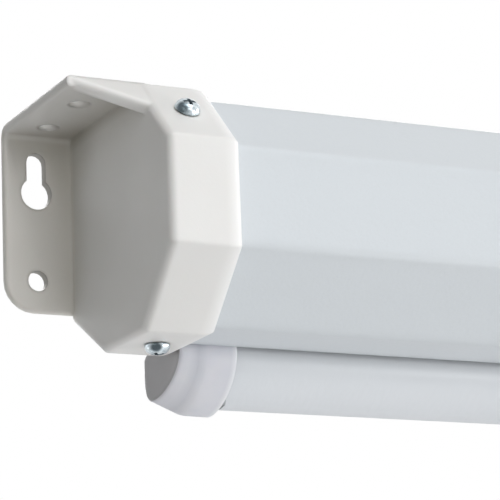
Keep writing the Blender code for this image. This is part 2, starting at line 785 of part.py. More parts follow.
def make_torsion_spring(finish):
    # One unbroken helix, closed on itself at a steady pitch of many wire widths.
    per_turn = 10
    count = spring_turns * per_turn
    curve = bpy.data.curves.new("torsion_spring", "CURVE")
    curve.dimensions = "3D"
    curve.bevel_depth = spring_wire_radius
    curve.bevel_resolution = 1
    curve.use_fill_caps = True
    spline = curve.splines.new("POLY")
    spline.points.add(count)
    start = spring_start + spring_wire_radius
    pitch = (spring_length - 2 * spring_wire_radius) / spring_turns
    # The wire's inner side clears its grips when the helix is a polygon of ten sides.
    radius = spring_coil_radius / math.cos(math.pi / per_turn)
    for i in range(count + 1):
        angle = 2 * math.pi * i / per_turn
        x = inwards(-1, start + pitch * i / per_turn)
        spline.points[i].co = (x, radius * math.cos(angle), radius * math.sin(angle), 1)
    least_gap = pitch - 2 * spring_wire_radius
    print(f"torsion spring: pitch {pitch * 1000:.2f} mm, least gap {least_gap * 1000:.2f} mm")
    made = bpy.data.objects.new("torsion_spring", curve)
    made.location = roller_axis
    curve.materials.append(finish)
    bpy.context.scene.collection.objects.link(made)
    return made


def make_spring_anchor(finish):
    # Plug inside the tube that takes the spring's turning end on its neck.
    neck_start = anchor_start - spring_grip_length
    end = anchor_start + anchor_length
    profile = [(neck_start, shaft_bore), (end, shaft_bore), (end, spigot_radius),
               (anchor_start, spigot_radius), (anchor_start, spring_grip_radius),
               (neck_start, spring_grip_radius)]
    bm = revolve([(inwards(-1, x), r) for x, r in profile], 32)
    return piece("spring_anchor", moved(bm, roller_axis), finish, roller_axis)


def make_pin_end_plug(finish):
    floor_end = right_tube_start - gap
    spigot_end = floor_end + plug_spigot_length
    sleeve = shaft_bore + plug_sleeve_wall
    hollow = spigot_radius - plug_spigot_wall
    profile = [(right_rim_start, shaft_bore), (right_rim_start, plug_rim_radius - plug_rim_chamfer),
               (right_rim_start + plug_rim_chamfer, plug_rim_radius), (floor_end, plug_rim_radius),
               (floor_end, spigot_radius), (spigot_end, spigot_radius), (spigot_end, hollow),
               (floor_end + plug_web, hollow), (floor_end + plug_web, sleeve), (spigot_end, sleeve),
               (spigot_end, shaft_bore)]
    bm = revolve([(inwards(1, x), r) for x, r in profile], 40)
    return piece("pin_end_plug", moved(bm, roller_axis), finish, roller_axis)


def make_gudgeon_pin(finish):
    start = shaft_seat + gap
    bm = rod(shaft_radius, inwards(1, start + pin_length), inwards(1, start), 20, 0.0006)
    return piece("gudgeon_pin", moved(bm, roller_axis), finish, roller_axis)


def cloth_roll_outline():
    sides = 48
    outer = []
    for i in range(sides):
        angle = 2 * math.pi * i / sides
        radius = roll_radius - cloth_thickness * i / sides
        outer.append(Vector((radius * math.cos(angle), radius * math.sin(angle))))
    return outer


def make_roll(finish):
    # Wound cloth as one solid: its outer turn spirals in by one thickness, with a step at its end.
    half = cloth_width / 2
    wound = moved(prism(cloth_roll_outline(), -half, half), roller_axis)
    roll = piece("cloth_roll", wound, finish, roller_axis)
    core = rod(tube_radius + gap, -half - overcut, half + overcut, 40, 0)
    cut(roll, "cloth_roll_core_cut", moved(core, roller_axis))
    return roll


# Cloth and bottom bar

def make_cloth_drop(finish):
    # Stretch of cloth from the roll's wall side down into the bar.
    low = hem_rod_z + hem_rod_radius + gap
    half = cloth_thickness / 2
    outline = [Vector((cloth_y - half, low)), Vector((cloth_y + half, low)),
               Vector((cloth_y + half, roller_z)), Vector((cloth_y - half, roller_z))]
    return piece("cloth_drop", prism(outline, -cloth_width / 2, cloth_width / 2), finish)


def oval_arc(side_draw, rise, power, start, end, steps, keel=0.0):
    # Part of an oval about the bar's centre line, from one angle to another. Rise is its half
    # height, and keel carries its lowest point back towards the wall.
    half_depth = bar_cap_half_depth - side_draw
    points = []
    for i in range(steps + 1):
        angle = math.radians(start + (end - start) * i / steps)
        c, s = math.cos(angle), math.sin(angle)
        scale = (abs(c) ** power + abs(s) ** power) ** (-1 / power)
        across, up = c * scale, s * scale
        points.append(Vector((cloth_y + half_depth * across + keel * up * up, bar_centre_z + rise * up)))
    return points


def bar_belly(side_draw, low_draw, steps=28):
    # Lower half of the oval, from its front round the underside to its back.
    rise = bar_cap_half_height - low_draw
    return oval_arc(side_draw, rise, bar_cap_power, 180, 360, steps, bar_keel)


def bar_outline(side_draw, low_draw, top_draw):
    crown = oval_arc(side_draw, bar_cap_shoulder - top_draw, bar_cap_crown_power, 0, 180, 20)
    return bar_belly(side_draw, low_draw) + crown[1:-1]


def bar_path():
    # Middle line of the bar's wall, from the slot's front lip round the belly to its back lip.
    inset = bar_step + bar_wall / 2
    top = bar_top_z - bar_wall / 2
    rise = top - bar_centre_z
    crown = oval_arc(inset, rise, bar_cap_crown_power, 0, 70, 8)
    front_lip = cloth_y - bar_slot_half_width
    back_lip = cloth_y + bar_slot_half_width
    back = [point for point in crown if point.x > back_lip + bar_lip_bend + gap]
    front = [Vector((2 * cloth_y - point.x, point.y)) for point in back]
    ends = [(front_lip, bar_lip_z), (front_lip, top), (front[-1].x, front[-1].y)]
    bend = rounded(ends, [0, bar_lip_bend, 0], 3, closed=False)[:-1]
    mirrored = [Vector((2 * cloth_y - point.x, point.y)) for point in bend]
    return bend + front[::-1] + bar_belly(inset, inset)[1:-1] + back + mirrored[::-1]


def make_bottom_bar(finish):
    end = half_span - bar_cap_start - bar_cap_socket_start - gap
    bar = piece("bottom_bar", prism(strip(bar_path(), bar_wall), -end, end), finish)
    cap_end = bar_cap_start + bar_cap_length
    for side in (-1, 1):
        x = side * handle_screw_spacing / 2
        drill = rod(handle_screw_radius + gap, -2 * overcut, overcut, 16, 0)
        place = Vector((x, cloth_y, bar_bottom_z))
        cut(bar, f"handle_screw_hole_bar_{side + 2}", turned_to(drill, place, Vector((0, 0, -1))))
        near, far = inwards(side, cap_end - gap), inwards(side, cap_end + bar_notch_length)
        corner = inwards(side, cap_end + bar_notch_length - bar_notch_corner)
        low, top = bar_bottom_z - bar_notch_height, bar_bottom_z + bar_notch_height
        notch = [(near, low), (near, top), (corner, top), (far, top - bar_notch_corner), (far, low)]
        depth = bar_cap_half_depth
        cut(bar, f"bar_notch_{side + 2}",
            prism([Vector(p) for p in notch], cloth_y - depth, cloth_y + depth, along_y))
    return bar


def chamfer_share(x):
    # Share of the end face's draw that is left at a distance, easing out where the chamfer ends.
    left = bar_cap_chamfer - x
    reach = (left + math.sqrt(left ** 2 + bar_cap_chamfer_ease ** 2)) / 2
    return reach / (bar_cap_chamfer - bar_cap_edge_radius)


def make_bar_cap(name, side, finish):
    # From the rounded edge of the end face, over the chamfer, to the rounded inner rim.
    edge = quarter_steps(bar_cap_edge_radius, bar_cap_edge_radius, 4)
    steps = 7
    chamfer_end = bar_cap_chamfer + 2 * bar_cap_chamfer_ease
    run = chamfer_end - bar_cap_edge_radius
    stations = [(x, draw, 1.0) for x, draw in edge]
    for i in range(1, steps):
        x = bar_cap_edge_radius + run * i / steps
        stations.append((x, 0.0, chamfer_share(x)))
    stations += [(bar_cap_length - x, draw, 0.0) for x, draw in reversed(edge)]
    shells = []
    for x, draw, share in stations:
        outline = bar_outline(draw + share * bar_cap_face_side_draw, draw + share * bar_cap_face_low_draw,
                              draw + share * bar_cap_face_top_draw)
        shells.append((inwards(side, bar_cap_start + x), outline))
    cap = piece(name, loft(shells), finish)
    room = bar_outline(bar_step - gap, bar_step - gap, bar_top_step - gap)
    cut(cap, f"bar_socket_cut_{name}",
        prism(room, inwards(side, bar_cap_start + bar_cap_socket_start),
              inwards(side, bar_cap_start + bar_cap_length + overcut)))
    return cap


def make_hem_rod(finish):
    bm = rod(hem_rod_radius, -cloth_width / 2, cloth_width / 2, 12)
    return piece("hem_rod", moved(bm, (0, cloth_y, hem_rod_z)), finish)


# Pull handle

def make_handle_clip(finish):
    # Moulded saddle that fits the bar's underside and carries the wire handle at its two ends.
    curve = bar_belly(bar_step - gap, bar_step - gap, 32)
    half = handle_clip_depth / 2
    saddle = [p for p in curve if abs(p.x - cloth_y) < half - gap]
    low = bar_bottom_z - handle_clip_height
    body = [(cloth_y + half, saddle[-1].y), (cloth_y + half, low), (cloth_y - half, low),
            (cloth_y - half, saddle[0].y)]
    corner = handle_clip_corner_radius
    sides = rounded(body, [0, corner, corner, 0], 4, closed=False)
    outline = saddle + sides
    length = handle_clip_length / 2
    small = 1e-5

    def on_end_rim(edge):
        at_end = all(abs(abs(v.co.x) - length) < small for v in edge.verts)
        outside = all(abs(v.co.y - cloth_y) > half - small or v.co.z < bar_bottom_z - 2 * gap
                      for v in edge.verts)
        return at_end and outside

    block = bevelled(prism(outline, -length, length), on_end_rim, handle_clip_edge_radius, 3)
    clip = piece("handle_clip", block, finish)
    for side in (-1, 1):
        hole = rod(handle_wire_radius + gap, 0, handle_pin_length + gap + overcut, 16, 0)
        place = Vector((side * (length - handle_pin_length - gap), cloth_y, handle_pivot_z))
        cut(clip, f"handle_pin_hole_{side + 2}", turned_to(hole, place, Vector((side, 0, 0))))
        x = side * handle_screw_spacing / 2
        drill = rod(handle_screw_radius + gap, -handle_clip_height - 2 * overcut, overcut, 16, 0)
        cut(clip, f"handle_screw_hole_clip_{side + 2}",
            turned_to(drill, Vector((x, cloth_y, low)), Vector((0, 0, -1))))
    return clip


def make_handle_screws(finish):
    low = bar_bottom_z - handle_clip_height
    for side, end in ((-1, "left"), (1, "right")):
        screw = screw_mesh(handle_clip_height + handle_screw_reach, handle_screw_head_radius,
                           handle_screw_head_height, handle_screw_radius)
        place = Vector((side * handle_screw_spacing / 2, cloth_y, low))
        make_screw(f"handle_screw_{end}", screw, place, Vector((0, 0, -1)), finish,
                   handle_screw_recess_share, handle_screw_head_height)


def make_pull_handle(finish):
    # Bent wire: a pin into each end of the clip, two legs and a grip.
    half = handle_width / 2
    pin_tip = handle_clip_length / 2 - handle_pin_length
    low = handle_pivot_z - handle_drop
    corners = [(-pin_tip, handle_pivot_z), (-half, handle_pivot_z), (-half, low), (half, low),
               (half, handle_pivot_z), (pin_tip, handle_pivot_z)]
    tight = 1.1 * handle_wire_radius
    path = rounded(corners, [0, tight, handle_bend_radius, handle_bend_radius, tight, 0], 5, closed=False)
    curve = bpy.data.curves.new("pull_handle", "CURVE")
    curve.dimensions = "3D"
    curve.bevel_depth = handle_wire_radius
    curve.bevel_resolution = 2
    curve.use_fill_caps = True
    spline = curve.splines.new("POLY")
    spline.points.add(len(path) - 1)
    for point, place in zip(spline.points, path):
        point.co = (place.x, 0, place.y - handle_pivot_z, 1)
    curve.materials.append(finish)
    made = bpy.data.objects.new("pull_handle", curve)
    made.location = (0, cloth_y, handle_pivot_z)
    bpy.context.scene.collection.objects.link(made)
    return made


def main():
    for old in list(bpy.data.objects):
        bpy.data.objects.remove(old, do_unlink=True)
    finishes = make_finishes()
    make_bracket("bracket_left", -1, finishes["bracket_plastic"])
    make_bracket("bracket_right", 1, finishes["bracket_plastic"])
    make_case(finishes["case_paint"])
    make_case_screws(finishes["zinc"])
    make_spade_shaft(finishes["steel"])
    make_ratchet_hub(finishes["steel"])
    make_spring_collar(finishes["nylon"])
    make_shaft_clip(finishes["spring_steel"])
    make_pin_bush(finishes["nylon"])
    make_roller_tube(finishes["steel"])
    make_spring_end_plug(finishes["grey_plastic"])
    make_pawls(finishes["steel"], finishes["steel"])
    make_torsion_spring(finishes["spring_steel"])
    make_spring_anchor(finishes["grey_plastic"])
    make_pin_end_plug(finishes["grey_plastic"])
    make_gudgeon_pin(finishes["steel"])
    make_roll(finishes["screen_cloth"])
    make_cloth_drop(finishes["screen_cloth"])
    make_bottom_bar(finishes["bar_paint"])
    make_hem_rod(finishes["grey_plastic"])
    make_bar_cap("bar_cap_left", -1, finishes["bar_cap_plastic"])
    make_bar_cap("bar_cap_right", 1, finishes["bar_cap_plastic"])
    make_handle_clip(finishes["bar_cap_plastic"])
    make_handle_screws(finishes["zinc"])
    make_pull_handle(finishes["steel"])


main()
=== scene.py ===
import json
import math

import bmesh
import bpy
from mathutils import Matrix, Vector

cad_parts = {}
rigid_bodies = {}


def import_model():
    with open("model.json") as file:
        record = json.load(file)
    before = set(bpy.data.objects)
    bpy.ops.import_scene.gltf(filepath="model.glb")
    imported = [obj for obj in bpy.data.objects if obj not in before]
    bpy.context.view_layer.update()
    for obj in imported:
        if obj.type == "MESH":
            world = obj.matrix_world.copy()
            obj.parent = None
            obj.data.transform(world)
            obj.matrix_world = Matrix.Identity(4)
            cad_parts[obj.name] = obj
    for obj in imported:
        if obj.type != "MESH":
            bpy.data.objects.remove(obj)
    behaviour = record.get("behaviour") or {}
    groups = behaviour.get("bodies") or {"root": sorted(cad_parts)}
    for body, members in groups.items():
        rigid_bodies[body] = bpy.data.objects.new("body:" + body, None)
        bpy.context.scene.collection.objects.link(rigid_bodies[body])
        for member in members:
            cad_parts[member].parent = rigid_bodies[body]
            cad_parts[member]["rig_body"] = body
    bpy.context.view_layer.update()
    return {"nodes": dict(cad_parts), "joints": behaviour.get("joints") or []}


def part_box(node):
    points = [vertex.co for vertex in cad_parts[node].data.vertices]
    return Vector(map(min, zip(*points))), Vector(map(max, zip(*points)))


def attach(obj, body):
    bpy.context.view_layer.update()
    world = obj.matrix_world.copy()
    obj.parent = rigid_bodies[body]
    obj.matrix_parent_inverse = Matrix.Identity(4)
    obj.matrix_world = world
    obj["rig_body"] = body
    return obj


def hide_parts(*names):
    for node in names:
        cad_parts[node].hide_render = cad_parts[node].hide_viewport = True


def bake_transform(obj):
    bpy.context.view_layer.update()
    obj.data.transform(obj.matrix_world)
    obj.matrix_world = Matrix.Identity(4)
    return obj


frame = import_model()
nodes = frame["nodes"]
xAxis = Vector((1, 0, 0))
print("frame loaded:", len(nodes), "nodes")


def cornersOf(box):
    return [Vector(corner) for corner in box]


# places and sizes taken from the frame, at rest
tubeLow, tubeHigh = cornersOf(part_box("roller_tube"))
rollHigh = cornersOf(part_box("cloth_roll"))[1]
dropLow, dropHigh = cornersOf(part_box("cloth_drop"))
rodLow, rodHigh = cornersOf(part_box("hem_rod"))
barHigh = cornersOf(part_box("bottom_bar"))[1]
rollerAxis = Vector((0, (tubeLow.y + tubeHigh.y) / 2, (tubeLow.z + tubeHigh.z) / 2))
clothY = (dropLow.y + dropHigh.y) / 2
clothWidth = dropHigh.x - dropLow.x
barJoint = next(joint for joint in frame["joints"] if joint["name"] == "bar_drop")


# shader tools; the spans are where most of a noise pattern's values lie

noiseSpan = (0.35, 0.65)
wideSpan = (0.3, 0.7)


class Value:                       # one output of a node, used in shader maths like a number
    def __init__(self, shader, socket):
        self.shader = shader
        self.socket = socket

    def maths(self, operation, first, second):
        return self.shader.add("ShaderNodeMath", {"operation": operation}, {0: first, 1: second})

    def __add__(self, other):
        return self.maths("ADD", self, other)

    def __radd__(self, other):
        return self.maths("ADD", other, self)

    def __sub__(self, other):
        return self.maths("SUBTRACT", self, other)

    def __rsub__(self, other):
        return self.maths("SUBTRACT", other, self)

    def __mul__(self, other):
        return self.maths("MULTIPLY", self, other)

    def __rmul__(self, other):
        return self.maths("MULTIPLY", other, self)

    def __gt__(self, other):
        return self.maths("GREATER_THAN", self, other)

    def __lt__(self, other):
        return self.maths("LESS_THAN", self, other)

    def __abs__(self):
        return self.maths("ABSOLUTE", self, 0.0)


class Shader:                      # a node tree, and the one method that adds to it
    def __init__(self, tree):
        self.tree = tree

    def add(self, kind, settings=None, values=None, output=0):
        node = self.tree.nodes.new(kind)
        for setting, value in (settings or {}).items():
            setattr(node, setting, value)
        for socket, value in (values or {}).items():
            self.put(value, node.inputs[socket])
        return Value(self, node.outputs[output])

    def put(self, value, socket):
        if isinstance(value, Value):
            self.tree.links.new(value.socket, socket)
        elif socket.type == "RGBA":
            socket.default_value = (*value, 1.0)
        else:
            socket.default_value = value

    def fit(self, value, fromLow, fromHigh, toLow, toHigh):
        return self.add("ShaderNodeMapRange", None,
                        {0: value, 1: fromLow, 2: fromHigh, 3: toLow, 4: toHigh})

    def seen(self):                # 1 to the camera and in reflections, 0 where it lights other things
        total = 0.0
        for ray in ("Is Camera Ray", "Is Glossy Ray", "Is Transmission Ray"):
            total = self.add("ShaderNodeLightPath", output=ray) + total
        return total


class Finish(Shader):              # one material, built round its Principled shader
    def __init__(self, name, **fixed):
        self.material = bpy.data.materials.new(name)
        self.material.use_nodes = True
        super().__init__(self.material.node_tree)
        self.surface = self.tree.nodes["Principled BSDF"]
        self.feed(**fixed)

    def feed(self, **links):
        for socket, value in links.items():
            self.put(value, self.surface.inputs[socket.replace("_", " ")])

    def place(self, stretch=(1, 1, 1), centre=(0, 0, 0)):  # a small stretch draws a pattern out
        coordinates = self.add("ShaderNodeTexCoord", output="Object")
        if stretch == (1, 1, 1) and centre == (0, 0, 0):
            return coordinates
        shifted = self.add("ShaderNodeVectorMath", {"operation": "SUBTRACT"}, {0: coordinates, 1: centre})
        return self.add("ShaderNodeMapping", None, {"Vector": shifted, "Scale": stretch})

    def noise(self, scale, detail=2.0, rough=0.5, place=None):
        return self.add("ShaderNodeTexNoise", None, {"Vector": place or self.place(), "Scale": scale,
                                                     "Detail": detail, "Roughness": rough})

    def cells(self, scale, place=None, output="Distance"):
        return self.add("ShaderNodeTexVoronoi", None, {"Vector": place or self.place(), "Scale": scale}, output)

    def along(self, axis):         # the place on one axis of the part
        return self.add("ShaderNodeSeparateXYZ", None, {0: self.place()}, axis)

    def facing(self, axis):        # how far the surface faces along one axis, either way
        normal = self.add("ShaderNodeTexCoord", output="Normal")
        return abs(self.add("ShaderNodeSeparateXYZ", None, {0: normal}, axis))

    def cutEnd(self):              # 1 on the faces where a length was sawn off
        return self.facing(0) > 0.9

    def openness(self, reach):     # 1 in the open, less in corners and gaps
        return self.add("ShaderNodeAmbientOcclusion", {"samples": 8}, {"Distance": reach}, "AO")

    def rise(self, value, span, height=1.0):       # 0 to the height as the value crosses the span
        return self.fit(value, *span, 0.0, height)

    def near(self, value, place, reach):           # 1 at the place, down to 0 at its reach
        return self.fit(abs(value - place), 0.0, reach, 1.0, 0.0)

    def mix(self, share, first, second, how="MIX"):
        return self.add("ShaderNodeMix", {"data_type": "RGBA", "blend_type": how, "clamp_factor": True},
                        {0: share, 6: first, 7: second}, 2)

    def twoTone(self, pattern, look, span=noiseSpan):      # colour where it is low, shade where it is high
        return self.mix(self.rise(pattern, span), look["colour"], look["shade"])

    def satin(self, pattern, look, span=wideSpan):         # roughness that follows a pattern
        return self.fit(pattern, *span, *look["rough"])

    def softened(self, radius):    # normals eased across creases, as on a moulding
        return self.add("ShaderNodeBevel", {"samples": 6}, {"Radius": radius})

    def bump(self, height, look, under=None):
        values = {"Height": height, "Strength": look[0], "Distance": look[1]}
        if under is not None:
            values["Normal"] = under
        return self.add("ShaderNodeBump", None, values)


# finishes; places and reaches are in metres, "rough" is the lowest and highest roughness, and a bump is
# its strength and its depth

mouldedPlastic = {
    "colour": (0.806, 0.802, 0.792), "shade": (0.784, 0.778, 0.764), "rough": (0.36, 0.47),
    "flowScale": 26.0, "cloudScale": 150.0, "cloudBump": (0.10, 0.0004), "creases": 0.0018,
    "grainScale": 2300.0, "grainBump": (0.35, 0.00006), "dots": (0.62, 0.61, 0.58), "dotShare": 0.05,
    "dustColour": (0.42, 0.40, 0.355), "dust": 0.62, "dustReach": 0.021, "ceilingDust": 0.34,
    "flanges": (0.5700, 0.5740), "ceilingSide": (-0.0075, -0.0040), "wallSide": (-0.0060, -0.0030),
    "yellow": (1.0, 0.970, 0.920), "yellowShare": 0.8,
    "holesAt": (0.5860, -0.0300), "holesReach": (0.0062, 0.0215),
    "stain": (0.32, 0.305, 0.28), "stainShare": 0.85,
    "lip": (0.865, 0.865, 0.860), "lipShare": 0.7, "lipEdge": (0.5572, 0.5530),
}


def makeBracketPlastic():
    # white moulded plastic: even grain, faint flow marks; painted shade in its corners and on its ceiling
    # flange's underside, painted warm bounce light by the wall, painted shade on the walls of the holes there,
    # a painted highlight on the skirt's lip
    finish = Finish("bracketPlastic", IOR=1.53, Subsurface_Weight=0.02, Subsurface_Scale=0.001)
    look = mouldedPlastic
    out, back, up = abs(finish.along(0)), finish.along(1), finish.along(2)
    flow = finish.noise(look["flowScale"], detail=3.0, rough=0.55, place=finish.place((1.0, 0.45, 0.7)))
    cloud = finish.noise(look["cloudScale"])
    grain = finish.noise(look["grainScale"], rough=0.6)
    pits = finish.cells(look["grainScale"] * 0.45)
    # painted shade: darker where ambient occlusion finds corners and gaps
    dust = finish.rise(finish.openness(look["dustReach"]) + cloud * 0.08, (0.90, 0.45), look["dust"])
    onFlange = finish.rise(out, look["flanges"])
    # painted shade on the underside of the ceiling flange
    ceiling = finish.rise(up, look["ceilingSide"]) * onFlange * (1.0 - finish.facing(1))
    byWall = finish.rise(back, look["wallSide"]) * onFlange
    holesX, holesZ = look["holesAt"]
    reachX, reachZ = look["holesReach"]
    besideHole = (abs(out - holesX) < reachX) * (abs(up - holesZ) < reachZ)
    holeWall = byWall * besideHole * (finish.facing(1) < 0.5)
    # painted highlight along the skirt's lip
    lipHighlighted = finish.mix(finish.rise(out, look["lipEdge"], look["lipShare"]),
                         finish.twoTone(flow, look, (0.35, 0.7)), look["lip"])
    # the painted shade is laid on: less of it by the wall, more under the ceiling flange
    withPaintedShade = finish.mix(dust * (1.0 - byWall * 0.5) + ceiling * look["ceilingDust"], lipHighlighted, look["dustColour"])
    # painted warm bounce light: a warm tint over the flanges by the wall
    warmBounceTinted = finish.mix(byWall * look["yellowShare"], withPaintedShade, look["yellow"], "MULTIPLY")
    # painted shade on the walls of the holes through the wall flange
    holeWallShaded = finish.mix(holeWall * look["stainShare"], warmBounceTinted, look["stain"])
    finish.feed(
        Base_Color=finish.mix(finish.rise(grain, (0.62, 0.75), look["dotShare"]), holeWallShaded, look["dots"]),
        Roughness=finish.satin(cloud * 0.6 + grain * 0.4, look, (0.35, 0.68)),
        Normal=finish.bump(grain * 0.6 + pits * 0.4, look["grainBump"],
                           finish.bump(cloud, look["cloudBump"], finish.softened(look["creases"]))),
    )
    return finish.material


powderPaint = {
    "colour": (0.670, 0.709, 0.743), "shade": (0.650, 0.691, 0.727), "rough": (0.30, 0.42), "bends": 0.0060,
    "waveScale": 9.0, "waveBump": (0.30, 0.0012), "peelScale": 760.0, "peelBump": (0.26, 0.00016),
    "specks": (0.58, 0.61, 0.63), "speckShare": 0.14, "speckScale": 1500.0, "bareSteel": (0.42, 0.43, 0.44),
}


def makeCasePaint():
    # cool white powder coat on sheet steel: orange peel over faint roll-forming waves, bare cut ends
    finish = Finish("casePaint", IOR=1.50, Coat_Weight=0.12, Coat_Roughness=0.22)
    look = powderPaint
    waves = finish.noise(look["waveScale"], place=finish.place((0.35, 1.0, 1.0)))
    peel = finish.noise(look["peelScale"], rough=0.45)
    speck = finish.rise(finish.noise(look["speckScale"]), (0.50, 0.72), look["speckShare"])
    painted = finish.mix(speck, finish.twoTone(waves, look), look["specks"])
    bare = finish.cutEnd()
    finish.feed(
        Base_Color=finish.mix(bare, painted, look["bareSteel"]),
        Metallic=bare * 0.9,
        Roughness=finish.satin(peel * 0.5 + waves * 0.5, look),
        Normal=finish.bump(peel, look["peelBump"],
                           finish.bump(waves, look["waveBump"], finish.softened(look["bends"]))),
    )
    return finish.material


barPaint = {
    "colour": (0.750, 0.781, 0.819), "shade": (0.728, 0.761, 0.800), "rough": (0.30, 0.44),
    "lineScale": 900.0, "lineBump": (0.16, 0.00005), "peelScale": 520.0, "peelBump": (0.30, 0.00016),
    "cloudScale": 14.0, "dustColour": (0.50, 0.52, 0.54), "dust": 0.48, "dustReach": 0.026,
    "bareMetal": (0.55, 0.56, 0.57),
}


def makeBarPaint():
    # painted extrusion: die lines run along it under the coat, painted shade lies where the bar is near the
    # case
    finish = Finish("barPaint", IOR=1.50, Coat_Weight=0.10, Coat_Roughness=0.25)
    look = barPaint
    lines = finish.noise(look["lineScale"], detail=3.0, rough=0.6, place=finish.place((0.004, 1.0, 1.0)))
    peel = finish.noise(look["peelScale"], place=finish.place((1.0, 0.45, 0.45)))
    cloud = finish.noise(look["cloudScale"])
    # painted shade: darker where the case overhangs the bar, found by ambient occlusion
    dust = finish.rise(finish.openness(look["dustReach"]) + cloud * 0.1, (1.0, 0.4), look["dust"])
    withPaintedShade = finish.mix(dust, finish.twoTone(cloud, look), look["dustColour"])
    bare = finish.cutEnd()
    finish.feed(
        Base_Color=finish.mix(bare, withPaintedShade, look["bareMetal"]),
        Metallic=bare * 0.9,
        Roughness=finish.satin(lines * 0.4 + peel * 0.6, look),
        Normal=finish.bump(lines, look["lineBump"], finish.bump(peel, look["peelBump"])),
    )
    return finish.material


capPlastic = {
    "colour": (0.728, 0.732, 0.776), "shade": (0.684, 0.695, 0.757), "rough": (0.34, 0.45), "creases": 0.0022,
    "cloudScale": 110.0, "cloudBump": (0.30, 0.0005), "grainScale": 2000.0, "grainBump": (0.30, 0.00005),
    "outerFace": (0.400, 0.396, 0.412), "sink": (0.53, 0.545, 0.605), "sinkShare": 0.60, "sinkAt": 0.5452,
    "sinkReach": 0.0030, "rim": (0.84, 0.85, 0.88), "rimShare": 0.8, "rimAt": 0.5328, "rimReach": 0.0016,
}


def makeCapPlastic():
    # cool white moulding: mottled, with painted shade on its outer end face, a painted highlight on its inner
    # rim, and a band round the cap where its wall thickens, bumped in as a shallow sink and darkened as a
    # painted dark reflection
    finish = Finish("capPlastic", IOR=1.50, Subsurface_Weight=0.03, Subsurface_Scale=0.0012)
    look = capPlastic
    out = abs(finish.along(0))
    cloud = finish.noise(look["cloudScale"])
    grain = finish.noise(look["grainScale"], rough=0.6)
    sink = finish.near(out, look["sinkAt"], look["sinkReach"])
    rim = finish.near(out, look["rimAt"], look["rimReach"])
    # painted dark reflection in the band; the bump below also dents it slightly
    withDarkReflection = finish.mix(sink * look["sinkShare"], finish.twoTone(cloud, look, (0.35, 0.7)), look["sink"])
    # painted highlight on the cap's inner rim, next to the bar
    rimHighlighted = finish.mix(rim * look["rimShare"], withDarkReflection, look["rim"])
    finish.feed(
        # painted shade on the end face that faces out along the bar
        Base_Color=finish.mix(finish.rise(finish.facing(0), (0.80, 0.97)), rimHighlighted, look["outerFace"]),
        Roughness=finish.satin(grain * 0.5 + cloud * 0.5, look, noiseSpan),
        Normal=finish.bump(grain, look["grainBump"],
                           finish.bump(cloud - sink * 0.5, look["cloudBump"],
                                       finish.softened(look["creases"]))),
    )
    return finish.material


zincPlate = {
    "colour": (0.72, 0.79, 0.82), "shade": (0.40, 0.46, 0.50), "rough": (0.16, 0.34),
    "patchScale": 520.0, "patchBump": (0.15, 0.00010), "scratchScale": 2600.0, "scratchBump": (0.20, 0.00002),
    "oil": (0.085, 0.108, 0.122), "spotReach": 0.0020, "spotEdge": 0.0010,
    "spots": ((0.5659, 0.0430, 0.0770), (0.5660, 0.0676, 0.0108)),
}


def makeZinc():
    # bright zinc on heads and threads: patchy sheen, fine driver scratches, a painted dark reflection spot on
    # each case screw, at the same place at both ends
    finish = Finish("zincPlate", Metallic=1.0)
    look = zincPlate
    patch = finish.noise(look["patchScale"], detail=3.0, rough=0.6)
    scratch = finish.noise(look["scratchScale"], place=finish.place((1.0, 0.08, 0.6)))
    eitherEnd = finish.add("ShaderNodeVectorMath", {"operation": "ABSOLUTE"}, {0: finish.place()})
    reach, dark = look["spotReach"], 0.0
    # painted dark reflections: a spot on each case screw's head
    for centre in look["spots"]:
        away = finish.add("ShaderNodeVectorMath", {"operation": "DISTANCE"}, {0: eitherEnd, 1: centre}, "Value")
        dark = finish.fit(away + patch * look["spotEdge"], reach * 0.95, reach * 1.50, 1.0, 0.0) + dark
    finish.feed(
        Base_Color=finish.mix(dark, finish.twoTone(patch, look, (0.38, 0.62)), look["oil"]),
        Roughness=finish.satin(patch * 0.6 + scratch * 0.4, look),
        Normal=finish.bump(scratch, look["scratchBump"], finish.bump(patch, look["patchBump"])),
    )
    return finish.material


screwRecess = {"colour": (0.30, 0.35, 0.38), "shade": (0.13, 0.16, 0.18), "rough": (0.34, 0.52),
               "patchScale": 900.0, "patchBump": (0.3, 0.00006)}


def makeRecess():
    # inside of a cross recess: darker metal as painted shade in the recess, patchy, with driver marks in its
    # bump
    finish = Finish("screwRecess", Metallic=1.0)
    look = screwRecess
    patch = finish.noise(look["patchScale"], detail=3.0, rough=0.6)
    finish.feed(
        Base_Color=finish.twoTone(patch, look),
        Roughness=finish.satin(patch, look),
        Normal=finish.bump(patch, look["patchBump"]),
    )
    return finish.material


turnedSteel = {
    "colour": (0.56, 0.57, 0.58), "shade": (0.46, 0.47, 0.48), "rough": (0.26, 0.42),
    "markScale": 5200.0, "markBump": (0.22, 0.00004), "patchScale": 90.0,
    "stain": (0.33, 0.30, 0.27), "stainShare": 0.35, "stainScale": 38.0,
}


def makeTurnedSteel():
    # bright turned steel: tool marks run round the roller's axis
    finish = Finish("turnedSteel", Metallic=1.0)
    look = turnedSteel
    marks = finish.noise(look["markScale"], place=finish.place((1.0, 0.01, 0.01), tuple(rollerAxis)))
    patch = finish.noise(look["patchScale"], detail=3.0, rough=0.55)
    stains = finish.noise(look["stainScale"], detail=4.0, rough=0.6)
    # stains on the steel itself, in the stain-and-shade tone
    stain = finish.rise(stains, (0.56, 0.72), look["stainShare"])
    finish.feed(
        Base_Color=finish.mix(stain, finish.twoTone(patch, look), look["stain"]),
        Roughness=finish.satin(patch * 0.5 + marks * 0.5, look),
        Normal=finish.bump(marks, look["markBump"]),
    )
    return finish.material


